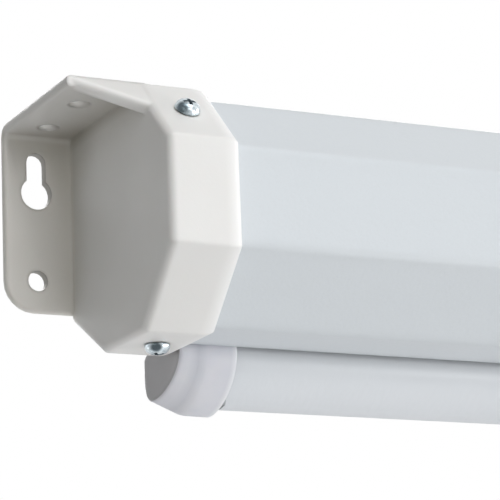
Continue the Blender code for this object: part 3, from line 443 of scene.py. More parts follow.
galvanisedTube = {"colour": (0.50, 0.52, 0.54), "shade": (0.66, 0.68, 0.70), "rough": (0.28, 0.46),
                  "flakeScale": 170.0, "flakeBump": (0.15, 0.00006),
                  "seamScale": 700.0, "seamBump": (0.2, 0.00004)}


def makeGalvanised():
    # zinc-dipped tube: spangle flakes of slightly different grey
    finish = Finish("galvanisedTube", Metallic=1.0)
    look = galvanisedTube
    flake = finish.cells(look["flakeScale"], finish.place((0.8, 1.0, 1.0)), "Color")
    tone = finish.add("ShaderNodeRGBToBW", None, {0: flake})
    seam = finish.noise(look["seamScale"], place=finish.place((0.03, 1.0, 1.0)))
    finish.feed(
        Base_Color=finish.mix(tone, look["colour"], look["shade"]),
        Roughness=finish.satin(tone + seam * 0.4, look, (0.2, 1.1)),
        Normal=finish.bump(seam, look["seamBump"], finish.bump(tone, look["flakeBump"])),
    )
    return finish.material


platedWire = {"colour": (0.66, 0.67, 0.68), "shade": (0.54, 0.55, 0.57), "rough": (0.18, 0.32),
              "patchScale": 260.0, "fineScale": 3000.0, "fineBump": (0.15, 0.00003)}


def makePlatedWire():
    # drawn wire, plated: its lines show only faintly, so the finish is an even satin
    finish = Finish("platedWire", Metallic=1.0)
    look = platedWire
    patch = finish.noise(look["patchScale"], detail=3.0, rough=0.55)
    fine = finish.noise(look["fineScale"])
    finish.feed(
        Base_Color=finish.twoTone(patch, look),
        Roughness=finish.satin(patch * 0.6 + fine * 0.4, look),
        Normal=finish.bump(fine, look["fineBump"]),
    )
    return finish.material


springSteel = {"colour": (0.24, 0.23, 0.22), "shade": (0.15, 0.14, 0.15), "rough": (0.26, 0.42),
               "patchScale": 300.0, "fineScale": 4000.0, "fineBump": (0.25, 0.00003)}


def makeSpringSteel():
    # oil-tempered wire: dark brown grey, drawn lines, a film of oil
    finish = Finish("springSteel", Metallic=1.0, Coat_Weight=0.25, Coat_Roughness=0.15)
    look = springSteel
    patch = finish.noise(look["patchScale"], detail=3.0, rough=0.6)
    fine = finish.noise(look["fineScale"], place=finish.place((1.0, 0.3, 0.3)))
    finish.feed(
        Base_Color=finish.twoTone(patch, look),
        Roughness=finish.satin(patch * 0.5 + fine * 0.5, look),
        Normal=finish.bump(fine, look["fineBump"]),
    )
    return finish.material


naturalNylon = {"colour": (0.80, 0.77, 0.68), "shade": (0.74, 0.71, 0.61), "rough": (0.36, 0.48),
                "cloudScale": 120.0, "grainScale": 1800.0, "grainBump": (0.25, 0.00005)}


def makeNylon():
    # unpainted nylon: cloudy cream with a fine grain
    finish = Finish("naturalNylon", IOR=1.53, Subsurface_Weight=0.2, Subsurface_Scale=0.002)
    look = naturalNylon
    cloud = finish.noise(look["cloudScale"])
    grain = finish.noise(look["grainScale"])
    finish.feed(
        Base_Color=finish.twoTone(cloud, look),
        Roughness=finish.satin(grain * 0.5 + cloud * 0.5, look, noiseSpan),
        Normal=finish.bump(grain, look["grainBump"]),
    )
    return finish.material


greyPlastic = {
    "colour": (0.28, 0.29, 0.31), "shade": (0.24, 0.25, 0.27), "rough": (0.38, 0.54), "cloudScale": 90.0,
    "fibre": (0.44, 0.45, 0.46), "fibreShare": 0.5, "fibreScale": 2400.0,
    "grainScale": 1500.0, "grainBump": (0.28, 0.00006),
}


def makeGreyPlastic():
    # glass-filled grey plastic: pale fibre specks in a dark ground
    finish = Finish("greyPlastic", IOR=1.54)
    look = greyPlastic
    cloud = finish.noise(look["cloudScale"])
    fibres = finish.noise(look["fibreScale"], place=finish.place((0.25, 1.0, 1.0)))
    fibre = finish.rise(fibres, (0.62, 0.74), look["fibreShare"])
    grain = finish.noise(look["grainScale"])
    finish.feed(
        Base_Color=finish.mix(fibre, finish.twoTone(cloud, look), look["fibre"]),
        Roughness=finish.satin(grain * 0.5 + cloud * 0.5, look, noiseSpan),
        Normal=finish.bump(grain + fibre * 0.3, look["grainBump"]),
    )
    return finish.material


screenCloth = {
    "sideBorder": 0.020, "lowBorder": 0.022, "pictureHeight": 0.762, "ragged": 0.0006, "raggedScale": 900.0,
    "textureScale": 2200.0, "threadScale": 1300.0,
}
whiteFace = {"colour": (0.88, 0.88, 0.87), "shade": (0.865, 0.865, 0.858), "rough": (0.78, 0.92),
             "border": (0.018, 0.018, 0.020), "borderShade": (0.030, 0.030, 0.032),
             "cloudScale": 6.0, "textureBump": (0.35, 0.00012), "threadBump": (0.2, 0.00008)}
blackBack = {"colour": (0.022, 0.022, 0.024), "shade": (0.034, 0.034, 0.036), "rough": (0.62, 0.82),
             "cloudScale": 40.0, "textureBump": (0.2, 0.0001), "threadBump": (0.5, 0.00012)}


def threadHeight(finish):          # crossed threads, in the plane of the hanging cloth
    warp, weft = (finish.add("ShaderNodeTexWave", {"bands_direction": direction},
                             {"Vector": finish.place(), "Scale": screenCloth["threadScale"],
                              "Distortion": 0.6, "Detail": 1.0}) for direction in ("X", "Z"))
    return warp * 0.5 + weft * 0.5


def makeClothFront():
    # matte white coating with a printed black border; "fromBar" is each point's way up from the bar
    finish = Finish("screenFront", Specular_IOR_Level=0.25)
    look = whiteFace
    fromBar = finish.add("ShaderNodeAttribute", {"attribute_name": "fromBar"}, output="Fac")
    uneven = finish.noise(screenCloth["raggedScale"]) * screenCloth["ragged"] - screenCloth["ragged"] / 2
    across, way = abs(finish.along(0)) + uneven, fromBar + uneven
    inside = across < clothWidth / 2 - screenCloth["sideBorder"]
    above = way > screenCloth["lowBorder"]
    below = way < screenCloth["lowBorder"] + screenCloth["pictureHeight"]
    texture = finish.noise(screenCloth["textureScale"], rough=0.6)
    white = finish.twoTone(finish.noise(look["cloudScale"], detail=3.0), look)
    black = finish.mix(texture, look["border"], look["borderShade"])
    finish.feed(
        Base_Color=finish.mix(inside * above * below, black, white),
        Roughness=finish.satin(texture, look),
        Normal=finish.bump(texture, look["textureBump"],
                           finish.bump(threadHeight(finish), look["threadBump"])),
    )
    return finish.material


def makeClothBack():
    # black light-tight backing over the woven glass fibre base
    finish = Finish("screenBack", Specular_IOR_Level=0.3)
    look = blackBack
    texture = finish.noise(screenCloth["textureScale"], rough=0.6)
    finish.feed(
        Base_Color=finish.twoTone(finish.noise(look["cloudScale"], detail=3.0), look),
        Roughness=finish.satin(texture, look),
        Normal=finish.bump(threadHeight(finish), look["threadBump"],
                           finish.bump(texture, look["textureBump"])),
    )
    return finish.material


finishes = {
    "bracket_plastic": makeBracketPlastic(),
    "case_paint": makeCasePaint(),
    "bar_paint": makeBarPaint(),
    "bar_cap_plastic": makeCapPlastic(),
    "zinc": makeZinc(),
    "recess": makeRecess(),
    "steel": makeTurnedSteel(),
    "galvanised": makeGalvanised(),
    "wire": makePlatedWire(),
    "spring_steel": makeSpringSteel(),
    "nylon": makeNylon(),
    "grey_plastic": makeGreyPlastic(),
    "clothFront": makeClothFront(),
    "clothBack": makeClothBack(),
}
print("finishes made:", len(finishes))


# solids that keep their shape: each one's finish and how far its edges are eased

nodeFinish = {
    "bracket_left": ("bracket_plastic", 0.00022), "bracket_right": ("bracket_plastic", 0.00022),
    "casing": ("case_paint", 0.00015), "bottom_bar": ("bar_paint", 0.00012),
    "bar_cap_left": ("bar_cap_plastic", 0.00025), "bar_cap_right": ("bar_cap_plastic", 0.00025),
    "handle_clip": ("bar_cap_plastic", 0.00025),
    "spade_shaft": ("steel", 0.00020), "ratchet_hub": ("steel", 0.00015), "gudgeon_pin": ("steel", 0.00020),
    "pawl_upper": ("steel", 0.00015), "pawl_lower": ("steel", 0.00015),
    "pawl_pin_upper": ("steel", 0.00012), "pawl_pin_lower": ("steel", 0.00012),
    "shaft_clip": ("spring_steel", 0.00010), "roller_tube": ("galvanised", 0.00015),
    "spring_collar": ("nylon", 0.00030), "pin_bush": ("nylon", 0.00020),
    "spring_end_plug": ("grey_plastic", 0.00025), "pin_end_plug": ("grey_plastic", 0.00025),
    "spring_anchor": ("grey_plastic", 0.00030), "hem_rod": ("grey_plastic", 0.00020),
}
dressing = {"weld": 2e-6, "flatWithin": 0.6, "edgeAngle": 32, "segments": 2, "faceWeight": 60}


def dress(name, finish, easing):
    node = nodes[name]
    node.data.shade_smooth()
    for slot in node.material_slots:
        slot.material = finishes[finish]
    weld = node.modifiers.new("weld", "WELD")
    weld.merge_threshold = dressing["weld"]
    flat = node.modifiers.new("flatFaces", "DECIMATE")
    flat.decimate_type = "DISSOLVE"
    flat.angle_limit = math.radians(dressing["flatWithin"])
    ease = node.modifiers.new("easedEdges", "BEVEL")
    ease.width = easing
    ease.segments = dressing["segments"]
    ease.limit_method = "ANGLE"
    ease.angle_limit = math.radians(dressing["edgeAngle"])
    ease.use_clamp_overlap = True
    ease.miter_outer = "MITER_ARC"
    shading = node.modifiers.new("faceWeights", "WEIGHTED_NORMAL")
    shading.weight = dressing["faceWeight"]
    shading.keep_sharp = False


for name, (finish, easing) in nodeFinish.items():
    dress(name, finish, easing)
print("solids dressed:", len(nodeFinish))


# mesh tools for the new pieces

def objectFrom(name, mesh, *materials):
    data = bpy.data.meshes.new(name)
    mesh.to_mesh(data)
    mesh.free()
    for material in materials:
        data.materials.append(material)
    made = bpy.data.objects.new(name, data)
    bpy.context.scene.collection.objects.link(made)
    return made


def addPiece(name, mesh, body, slot, *materials, replaces=()):
    made = objectFrom(name, mesh, *materials)
    if body:
        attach(made, body)
    for node in replaces:
        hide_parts(node)
    return made


def smoothBy(made, degrees):
    made.data.shade_smooth()
    made.data.set_sharp_from_angle(angle=math.radians(degrees))


def vertsIn(items):
    return [item for item in items if isinstance(item, bmesh.types.BMVert)]


def edgesIn(items):
    return [item for item in items if isinstance(item, bmesh.types.BMEdge)]


def drawOut(mesh, edges):
    # the edges are drawn out once: the new edges along their far side, and their points
    made = bmesh.ops.extrude_edge_only(mesh, edges=edges)["geom"]
    verts = vertsIn(made)
    return [edge for edge in edgesIn(made) if all(vert in verts for vert in edge.verts)], verts


# screws

caseScrew = {"head": 0.00388, "height": 0.0030, "round": 0.66, "core": 0.00165, "crest": 0.00202,
             "length": 0.0095, "pitch": 0.0011, "reach": 0.0025, "wing": 0.00068, "depth": 0.0020}
clipScrew = {"head": 0.0032, "height": 0.0020, "round": 0.60, "core": 0.00130, "crest": 0.00160,
             "length": 0.0143, "pitch": 0.0010, "reach": 0.0019, "wing": 0.00050, "depth": 0.0014}
anyScrew = {
    "seat": 0.0003, "point": 0.0003, "pointShare": 0.35, "taper": 0.0022, "underRim": 0.955,
    "rim": 0.99, "rimHeight": 0.00025, "domeSteps": 22, "domeStep": 4, "domeStart": 2, "sides": 48,
    "threadStart": 0.0016, "threadGap": 0.0008, "threadSides": 20, "ridgeHalf": 0.00042, "ridgeFoot": 0.0001,
    "cutterSpare": 0.001, "recessTaper": 0.45, "sharpAngle": 34, "merge": 1e-6, "tipBand": 1e-5,
}


def screwBody(size):
    # half outline of head, neck, core and blunt point, spun round the X axis
    mesh = bmesh.new()
    tip, seat = -size["length"], anyScrew["seat"]
    outline = [(tip, 0.0), (tip + anyScrew["point"], size["core"] * anyScrew["pointShare"]),
               (tip + anyScrew["taper"], size["core"]), (seat, size["core"]),
               (seat, size["head"] * anyScrew["underRim"]),
               (seat + anyScrew["rimHeight"], size["head"] * anyScrew["rim"])]
    for step in range(1, anyScrew["domeSteps"] + 1):
        angle = math.radians(anyScrew["domeStep"] * step + anyScrew["domeStart"])
        outline.append((seat + size["height"] * math.sin(angle),
                        size["head"] * math.cos(angle) ** size["round"]))
    outline.append((seat + size["height"], 0.0))
    verts = [mesh.verts.new((x, 0, radius)) for x, radius in outline]
    edges = [mesh.edges.new(pair) for pair in zip(verts, verts[1:])]
    bmesh.ops.spin(mesh, geom=verts + edges, cent=(0, 0, 0), axis=(1, 0, 0), angle=2 * math.pi,
                   steps=anyScrew["sides"], use_merge=True)
    bmesh.ops.remove_doubles(mesh, verts=mesh.verts, dist=anyScrew["merge"])
    bmesh.ops.recalc_face_normals(mesh, faces=mesh.faces)
    return mesh


def addThread(mesh, size):
    # a sharp ridge carried round and along the core
    perTurn = anyScrew["threadSides"]
    start = -size["length"] + anyScrew["threadStart"]
    turns = int((anyScrew["seat"] - anyScrew["threadGap"] - start) / size["pitch"])
    half, foot = anyScrew["ridgeHalf"], size["core"] - anyScrew["ridgeFoot"]
    ridge = [(-half, foot), (0.0, size["crest"]), (half, foot)]
    verts = [mesh.verts.new((start + x, 0, radius)) for x, radius in ridge]
    edges = [mesh.edges.new((verts[i - 1], verts[i])) for i in range(3)]
    first = mesh.faces.new(verts)
    bmesh.ops.spin(mesh, geom=[first] + edges + verts, cent=(0, 0, 0), axis=(1, 0, 0),
                   dvec=(size["pitch"] / perTurn, 0, 0), angle=2 * math.pi * turns, steps=turns * perTurn)
    bmesh.ops.recalc_face_normals(mesh, faces=mesh.faces)


def crossCutter(size):
    # three by three grid without its corners, drawn down and in to a cross recess
    mesh = bmesh.new()
    bmesh.ops.create_grid(mesh, x_segments=3, y_segments=3, size=1.0)
    for vert in mesh.verts:
        for axis in (0, 1):
            far = abs(vert.co[axis]) > 0.5
            vert.co[axis] = math.copysign(size["reach"] if far else size["wing"], vert.co[axis])
    corners = [face for face in mesh.faces if abs(face.calc_center_median().x) > size["wing"]
               and abs(face.calc_center_median().y) > size["wing"]]
    bmesh.ops.delete(mesh, geom=corners, context="FACES")
    floor = vertsIn(bmesh.ops.extrude_face_region(mesh, geom=list(mesh.faces))["geom"])
    bmesh.ops.translate(mesh, verts=floor, vec=(0, 0, -size["depth"] - anyScrew["cutterSpare"]))
    bmesh.ops.scale(mesh, verts=floor, vec=(anyScrew["recessTaper"], anyScrew["recessTaper"], 1.0))
    bmesh.ops.recalc_face_normals(mesh, faces=mesh.faces)
    top = anyScrew["seat"] + size["height"] + anyScrew["cutterSpare"]
    bmesh.ops.transform(mesh, matrix=Matrix.Translation((top, 0, 0)) @ Matrix.Rotation(math.pi / 2, 4, "Y")
                        @ Matrix.Rotation(math.pi / 4, 4, "Z"), verts=mesh.verts)
    return mesh


def cutWith(mesh, cutter):
    # the recess is cut once, in its own finish, and the result taken back as plain mesh
    holders = []
    for number, (label, source) in enumerate((("body", mesh), ("cutter", cutter))):
        for face in source.faces:
            face.material_index = number
        holders.append(objectFrom(label, source, finishes["zinc"], finishes["recess"]))
    step = holders[0].modifiers.new("cut", "BOOLEAN")
    step.operation = "DIFFERENCE"
    step.solver = "EXACT"
    step.object = holders[1]
    bpy.context.view_layer.update()
    cutMesh = bpy.data.meshes.new_from_object(holders[0].evaluated_get(bpy.context.evaluated_depsgraph_get()))
    result = bmesh.new()
    result.from_mesh(cutMesh)
    for holder in holders:
        old = holder.data
        bpy.data.objects.remove(holder)
        bpy.data.meshes.remove(old)
    bpy.data.meshes.remove(cutMesh)
    return result


def screwSeat(node, outward, size):
    # the head's top is the node's furthest point outwards, so the seat lies its height below
    points = [vert.co for vert in nodes[node].data.vertices]
    top = max(point.dot(outward) for point in points)
    low = min(point.dot(outward) for point in points)
    tip = [point for point in points if point.dot(outward) < low + anyScrew["tipBand"]]
    centre = sum(tip, Vector()) / len(tip)
    return centre + outward * (top - size["height"] - anyScrew["seat"] - centre.dot(outward))


def makeScrew(name, size, outward, body, node):
    mesh = cutWith(screwBody(size), crossCutter(size))
    addThread(mesh, size)
    outward = Vector(outward).normalized()
    turn = xAxis.rotation_difference(outward).to_matrix().to_4x4()
    place = Matrix.Translation(screwSeat(node, outward, size))
    bmesh.ops.transform(mesh, matrix=place @ turn, verts=mesh.verts)
    made = addPiece(name, mesh, body, "zinc", finishes["zinc"], finishes["recess"], replaces=[node])
    smoothBy(made, anyScrew["sharpAngle"])


for end in ("left", "right"):
    for level, outward in (("upper", (0, -1, 1)), ("lower", (0, 0, -1))):
        makeScrew(f"caseScrew_{end}_{level}", caseScrew, outward, "case", f"case_screw_{end}_{level}")
    makeScrew(f"clipScrew_{end}", clipScrew, (0, 0, -1), "bar", f"handle_screw_{end}")
print("screws made: 6")


# torsion spring

torsionSpring = {"wire": 0.0008, "turns": 60, "perTurn": 24, "sides": 10, "endShare": 1.05, "sharpAngle": 50}


def makeSpring():
    # a circle of wire carried round the roller's axis and along it
    size = torsionSpring
    low, high = cornersOf(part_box("torsion_spring"))
    coil = (high.z - low.z) / 2 - size["wire"]
    inset = size["wire"] * size["endShare"]
    mesh = bmesh.new()
    ring = bmesh.ops.create_circle(mesh, cap_ends=False, segments=size["sides"], radius=size["wire"])
    bmesh.ops.rotate(mesh, verts=ring["verts"], cent=(0, 0, 0), matrix=Matrix.Rotation(math.pi / 2, 3, "X"))
    bmesh.ops.translate(mesh, verts=ring["verts"], vec=(low.x + inset, 0, coil))
    steps = size["turns"] * size["perTurn"]
    run = high.x - low.x - 2 * inset
    bmesh.ops.spin(mesh, geom=list(mesh.verts) + list(mesh.edges), cent=(0, 0, 0), axis=(1, 0, 0),
                   dvec=(run / steps, 0, 0), angle=2 * math.pi * size["turns"], steps=steps)
    openEdges = [edge for edge in mesh.edges if len(edge.link_faces) < 2]
    bmesh.ops.holes_fill(mesh, edges=openEdges, sides=size["sides"])
    bmesh.ops.translate(mesh, verts=mesh.verts, vec=rollerAxis)
    bmesh.ops.recalc_face_normals(mesh, faces=mesh.faces)
    body = nodes["torsion_spring"]["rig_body"]
    made = addPiece("torsionSpring", mesh, body, "spring_steel", finishes["spring_steel"],
                    replaces=["torsion_spring"])
    smoothBy(made, size["sharpAngle"])


makeSpring()
print("spring made")


# cloth: the turns on the roller, and the stretch from there to the bar

woundCloth = {"thickness": 0.00038, "pitch": 0.00042, "perTurn": 60, "innerGap": 0.0003, "outerGap": 0.00002}
hungCloth = {
    "rows": 96, "columns": 24, "drop": barJoint["range_m"][1], "ripple": 0.0007,
    "waves": ((0.35, 9.0, 5.0), (0.15, 23.0, -9.0)), "rodGap": 0.00028, "hemOpening": 36, "hemSteps": 22,
    "hemBack": 1.25, "hemTuck": ((0.0001, 0.0002), (0.0, 0.0008), (0.0, 0.0035)), "hemMark": -0.001,
    "halvings": 40,
}


def growRow(mesh, edges, change):
    # the last row of edges is drawn out to a new one, which the change then moves
    edges, verts = drawOut(mesh, edges)
    bmesh.ops.transform(mesh, matrix=change, verts=verts)
    return edges, verts


def firstRow(mesh, columns, y, z):
    verts = [mesh.verts.new((clothWidth * (i / columns - 0.5), y, z)) for i in range(columns + 1)]
    return [mesh.edges.new(pair) for pair in zip(verts, verts[1:])], verts


def mark(verts, layer, value):
    for vert in verts:
        vert[layer] = value


def turnFacesTo(mesh, towards):
    # the white side is the one that the faces' own normals show
    bmesh.ops.recalc_face_normals(mesh, faces=mesh.faces)
    first = min(mesh.faces, key=lambda face: face.index)
    if first.normal.dot(towards(first)) < 0:
        bmesh.ops.reverse_faces(mesh, faces=mesh.faces)


def clothPiece(name, mesh, body, replaced, thickness):
    made = addPiece(name, mesh, body, "screen_cloth", finishes["clothFront"], finishes["clothBack"],
                    replaces=[replaced])
    made.data.shade_smooth()
    wall = made.modifiers.new("thickness", "SOLIDIFY")
    wall.thickness = thickness
    wall.offset = 0.0
    wall.material_offset = 1
    wall.material_offset_rim = 1
    return made


def makeWoundCloth():
    # spiral from the outer turn inwards; up the wall side, over the top and towards the front
    size = woundCloth
    mesh = bmesh.new()
    fromBar = mesh.verts.layers.float.new("fromBar")
    radius = rollHigh.y - rollerAxis.y - size["thickness"] / 2 - size["outerGap"]
    inner = (tubeHigh.z - tubeLow.z) / 2 + size["innerGap"] + size["thickness"] / 2
    step = 2 * math.pi / size["perTurn"]
    edges, verts = firstRow(mesh, 2, rollerAxis.y + radius, rollerAxis.z)
    length, wound = dropHigh.z - barHigh.z, 0.0
    mark(verts, fromBar, length)
    toAxis, fromAxis = Matrix.Translation(-rollerAxis), Matrix.Translation(rollerAxis)
    while radius > inner:
        smaller = (radius - size["pitch"] / size["perTurn"]) / radius
        change = Matrix.Rotation(step, 4, "X") @ Matrix.Diagonal((1, smaller, smaller, 1))
        edges, verts = growRow(mesh, edges, fromAxis @ change @ toAxis)
        wound += 2 * radius * math.sin(step / 2)
        radius *= smaller
        mark(verts, fromBar, length + wound)
    turnFacesTo(mesh, lambda face: (rollerAxis - face.calc_center_median()) * Vector((0, 1, 1)))
    made = clothPiece("woundCloth", mesh, "roller", "cloth_roll", size["thickness"])
    print(f"wound cloth: {wound:.3f} m")


def restShare(share, rest, drop):
    # where along the short stretch at rest a point sits that hangs at this share when let down
    low, high = 0.0, 1.0
    for _ in range(hungCloth["halvings"]):
        middle = (low + high) / 2
        reached = rest * middle + drop * middle * middle * (3 - 2 * middle)
        low, high = (middle, high) if reached < share * (rest + drop) else (low, middle)
    return (low + high) / 2


def hemPath(size, z):
    # down to the hem rod, round it and up again behind, where the hem is welded to the cloth
    radius = (rodHigh.z - rodLow.z) / 2 + size["rodGap"]
    centre = Vector((0, clothY, (rodLow.z + rodHigh.z) / 2))
    opening = math.radians(size["hemOpening"])
    neckZ = centre.z + radius / math.cos(opening)
    path = [(clothY, (z + neckZ) / 2), (clothY, neckZ)]
    for i in range(size["hemSteps"] + 1):
        angle = math.pi / 2 + opening + (2 * math.pi - 2 * opening) * i / size["hemSteps"]
        path.append((clothY + radius * math.cos(angle), centre.z + radius * math.sin(angle)))
    back = clothY + woundCloth["thickness"] * size["hemBack"]
    return path + [(back + out, neckZ + up) for out, up in size["hemTuck"]]


def makeHungCloth():
    # rows from the roll down to the bar, closer together at rest where they part as the bar comes down
    size = hungCloth
    mesh = bmesh.new()
    fromBar = mesh.verts.layers.float.new("fromBar")
    top, low = dropHigh.z, barHigh.z
    rest = top - low
    total = rest + size["drop"]
    edges, verts = firstRow(mesh, size["columns"], clothY, top)
    mark(verts, fromBar, total)
    length, z = 0.0, top
    for row in range(1, size["rows"] + 1):
        share = row / size["rows"]
        newZ = top - rest * restShare(share, rest, size["drop"])
        edges, verts = growRow(mesh, edges, Matrix.Translation((0, 0, newZ - z)))
        mark(verts, fromBar, total * (1 - share))
        length += z - newZ
        z = newZ
    here = Vector((0, clothY, z))
    for y, z in hemPath(size, z):
        there = Vector((0, y, z))
        edges, verts = growRow(mesh, edges, Matrix.Translation(there - here))
        length += (there - here).length
        mark(verts, fromBar, size["hemMark"])
        here = there
    turnFacesTo(mesh, lambda face: Vector((0, -1, 0)))
    for vert in mesh.verts:        # shallow waves of a hanging sheet, none where it is held
        free = vert[fromBar] / total
        hang = max(0.0, 4 * free * (1 - free)) if free > 0 else 0.0
        wave = 0.5
        for height, across, down in size["waves"]:
            wave += height * math.sin(vert.co.x * across + free * down)
        vert.co.y += size["ripple"] * hang * wave
    made = clothPiece("hungCloth", mesh, None, "cloth_drop", woundCloth["thickness"])
    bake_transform(made)
    print(f"hung cloth: {length:.3f} m at rest, {total:.3f} m let down")


makeWoundCloth()
makeHungCloth()


# pull handle

pullHandle = {"wire": 0.0020, "bend": 0.0080, "tight": 0.0022, "bendSteps": 10, "tightSteps": 6, "sides": 20,
              "tip": 0.0003, "tipShare": 0.86, "pinBand": 0.0039, "sharpAngle": 40, "merge": 1e-6}


def pinTips(size):
    # the pins' tips are the wire's innermost points at the height of the hinge
    data = nodes["pull_handle"].data
    top = max(vert.co.z for vert in data.vertices)
    return min(abs(vert.co.x) for vert in data.vertices if vert.co.z > top - size["pinBand"])


def makePullHandle():
    # wire drawn from the left pin, bent at four corners, to the right pin
    size = pullHandle
    tight, wide, tip = size["tight"], size["bend"], size["tip"]
    low, high = cornersOf(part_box("pull_handle"))
    pivot = high.z - size["wire"]
    half = (high.x - low.x) / 2 - size["wire"]
    floor = low.z + size["wire"]
    pins = pinTips(size)
    mesh = bmesh.new()
    ring = bmesh.ops.create_circle(mesh, cap_ends=True, segments=size["sides"],
                                   radius=size["wire"] * size["tipShare"])
    bmesh.ops.rotate(mesh, verts=ring["verts"], cent=(0, 0, 0), matrix=Matrix.Rotation(math.pi / 2, 3, "Y"))
    bmesh.ops.translate(mesh, verts=ring["verts"], vec=(-pins, clothY, pivot))

    def draw(edges, vec, grow=1.0):
        edges, verts = drawOut(mesh, edges)
        bmesh.ops.translate(mesh, verts=verts, vec=vec)
        middle = sum((vert.co for vert in verts), Vector()) / len(verts)
        bmesh.ops.scale(mesh, verts=verts, vec=(1, grow, grow), space=Matrix.Translation(-middle))
        return edges

    def bend(edges, x, z, steps):  # a quarter turn about a point in the handle's plane
        verts = list({vert for edge in edges for vert in edge.verts})
        made = bmesh.ops.spin(mesh, geom=verts + edges, cent=(x, clothY, z), axis=(0, 1, 0),
                              angle=-math.pi / 2, steps=steps)["geom_last"]
        return edgesIn(made)

    edges = draw(list(mesh.edges), (-tip, 0, 0), 1 / size["tipShare"])
    edges = draw(edges, (-(half - tight - pins - tip), 0, 0))
    edges = bend(edges, -half + tight, pivot - tight, size["tightSteps"])
    edges = draw(edges, (0, 0, floor + wide - (pivot - tight)))
    edges = bend(edges, -half + wide, floor + wide, size["bendSteps"])
    edges = draw(edges, (2 * (half - wide), 0, 0))
    edges = bend(edges, half - wide, floor + wide, size["bendSteps"])
    edges = draw(edges, (0, 0, pivot - tight - floor - wide))
    edges = bend(edges, half - tight, pivot - tight, size["tightSteps"])
    edges = draw(edges, (-(half - tight - pins - tip), 0, 0))
    edges = draw(edges, (-tip, 0, 0), size["tipShare"])
    bmesh.ops.holes_fill(mesh, edges=edges, sides=size["sides"])
    bmesh.ops.remove_doubles(mesh, verts=mesh.verts, dist=size["merge"])
    bmesh.ops.recalc_face_normals(mesh, faces=mesh.faces)
    made = addPiece("pullHandle", mesh, "handle", "steel", finishes["wire"], replaces=["pull_handle"])
    smoothBy(made, size["sharpAngle"])


makePullHandle()
print("handle made")


# floor, light and camera

studio = {
    "floorHeight": -1.80, "floorSize": 60.0, "floorGlow": 0.8, "ambient": 0.01, "lampsAim": (-0.4, 0, -0.05),
    "colour": (0.86, 0.86, 0.86), "shade": (0.84, 0.84, 0.84), "rough": (0.60, 0.72), "cloudScale": 1.6,
}
plainWhite = (1.0, 1.0, 1.0)
lamps = {
    "highLamp": {"place": (-0.4, -1.6, 2.2), "size": (2.0, 1.6), "power": 46.5},
    "frontLamp": {"place": (-0.3, -3.2, 0.6), "size": (2.0, 1.6), "power": 19.6},
    "rightLamp": {"place": (4.4, -1.1, 0.5), "size": (1.6, 1.9), "power": 67.0},
    "lowRightLamp": {"place": (2.55, -2.6, -1.2), "size": (2.4, 0.9), "power": 45.0},
    "glintLamp": {"place": (0.9, -1.9, -1.0), "size": (0.35, 0.2), "power": 3.4},
    "leftLamp": {"place": (-2.5, -1.9, 0.1), "size": (1.2, 1.6), "power": 7.8, "colour": (0.99, 1.0, 0.93)},
    "underLamp": {"place": (-0.3, 0.1, -1.74), "size": (3.6, 1.2), "power": 7.6},
    "backLeftLamp": {"place": (-2.4, 1.4, -0.4), "size": (1.0, 1.6), "power": 4.0},
    "backLamp": {"place": (0.5, 2.8, 1.0), "size": (2.4, 1.4), "power": 40.0},
}


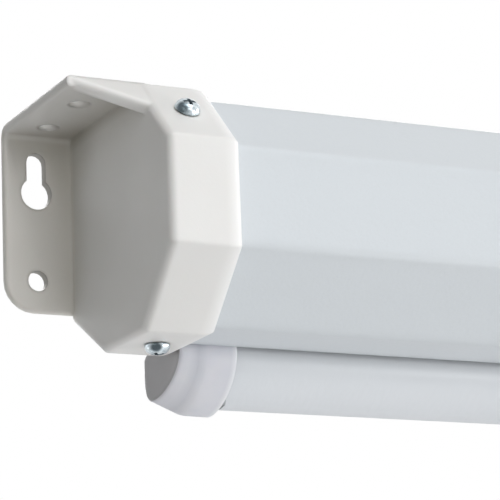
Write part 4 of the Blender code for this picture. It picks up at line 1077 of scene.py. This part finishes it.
def makeFloor():
    # mostly white where it is seen, with the shadow kept, and clear from below
    finish = Finish("paleFloor")
    cloud = finish.noise(studio["cloudScale"], detail=3.0)
    finish.feed(Base_Color=finish.mix(cloud, studio["colour"], studio["shade"]),
                Roughness=finish.satin(cloud, studio))
    plain = Value(finish, finish.surface.outputs[0])
    glow = finish.add("ShaderNodeEmission", None, {"Color": plainWhite, "Strength": 1.0})
    lit = finish.add("ShaderNodeMixShader", None, {0: finish.seen() * studio["floorGlow"], 1: plain, 2: glow})
    below = finish.add("ShaderNodeNewGeometry", output="Backfacing")
    clear = finish.add("ShaderNodeBsdfTransparent")
    whole = finish.add("ShaderNodeMixShader", None, {0: below, 1: lit, 2: clear})
    finish.put(whole, finish.tree.nodes["Material Output"].inputs["Surface"])
    mesh = bmesh.new()
    bmesh.ops.create_grid(mesh, x_segments=2, y_segments=2, size=studio["floorSize"] / 2)
    bmesh.ops.translate(mesh, verts=mesh.verts, vec=(0, 0, studio["floorHeight"]))
    floor = objectFrom("floor", mesh, finish.material)


def makeWorld():
    # white to the camera and in reflections, almost no light of its own
    world = bpy.data.worlds.new("studio")
    bpy.context.scene.world = world
    world.use_nodes = True
    sky = Shader(world.node_tree)
    background = sky.tree.nodes["Background"]
    sky.put(plainWhite, background.inputs["Color"])
    sky.put(sky.fit(sky.seen(), 0.0, 1.0, studio["ambient"], 1.0), background.inputs["Strength"])


def addLamp(name, look):
    lamp = bpy.data.lights.new(name, "AREA")
    lamp.shape = "RECTANGLE"
    lamp.size, lamp.size_y = look["size"]
    lamp.energy = look["power"]
    lamp.color = look.get("colour", plainWhite)
    made = bpy.data.objects.new(name, lamp)
    made.location = look["place"]
    towards = Vector(studio["lampsAim"]) - Vector(look["place"])
    made.rotation_euler = towards.to_track_quat("-Z", "Y").to_euler()
    bpy.context.scene.collection.objects.link(made)


viewer = {"place": (-0.8685, -0.7091, -0.2317), "turn": -26.68, "tilt": 104.06, "roll": -2.32,
          "lens": 183.906, "sensor": 36.0, "nearest": 0.01}


def makeCamera():
    lens = bpy.data.cameras.new("camera")
    lens.lens = viewer["lens"]
    lens.sensor_width = viewer["sensor"]
    lens.clip_start = viewer["nearest"]
    camera = bpy.data.objects.new("camera", lens)
    turn, tilt, roll = (math.radians(viewer[key]) for key in ("turn", "tilt", "roll"))
    camera.matrix_world = (Matrix.Translation(viewer["place"]) @ Matrix.Rotation(turn, 4, "Z")
                           @ Matrix.Rotation(tilt, 4, "X") @ Matrix.Rotation(roll, 4, "Z"))
    bpy.context.scene.collection.objects.link(camera)
    bpy.context.scene.camera = camera


makeFloor()
makeWorld()
for name, look in lamps.items():
    addLamp(name, look)
makeCamera()
bpy.context.scene.view_settings.view_transform = "Standard"
print("studio ready")
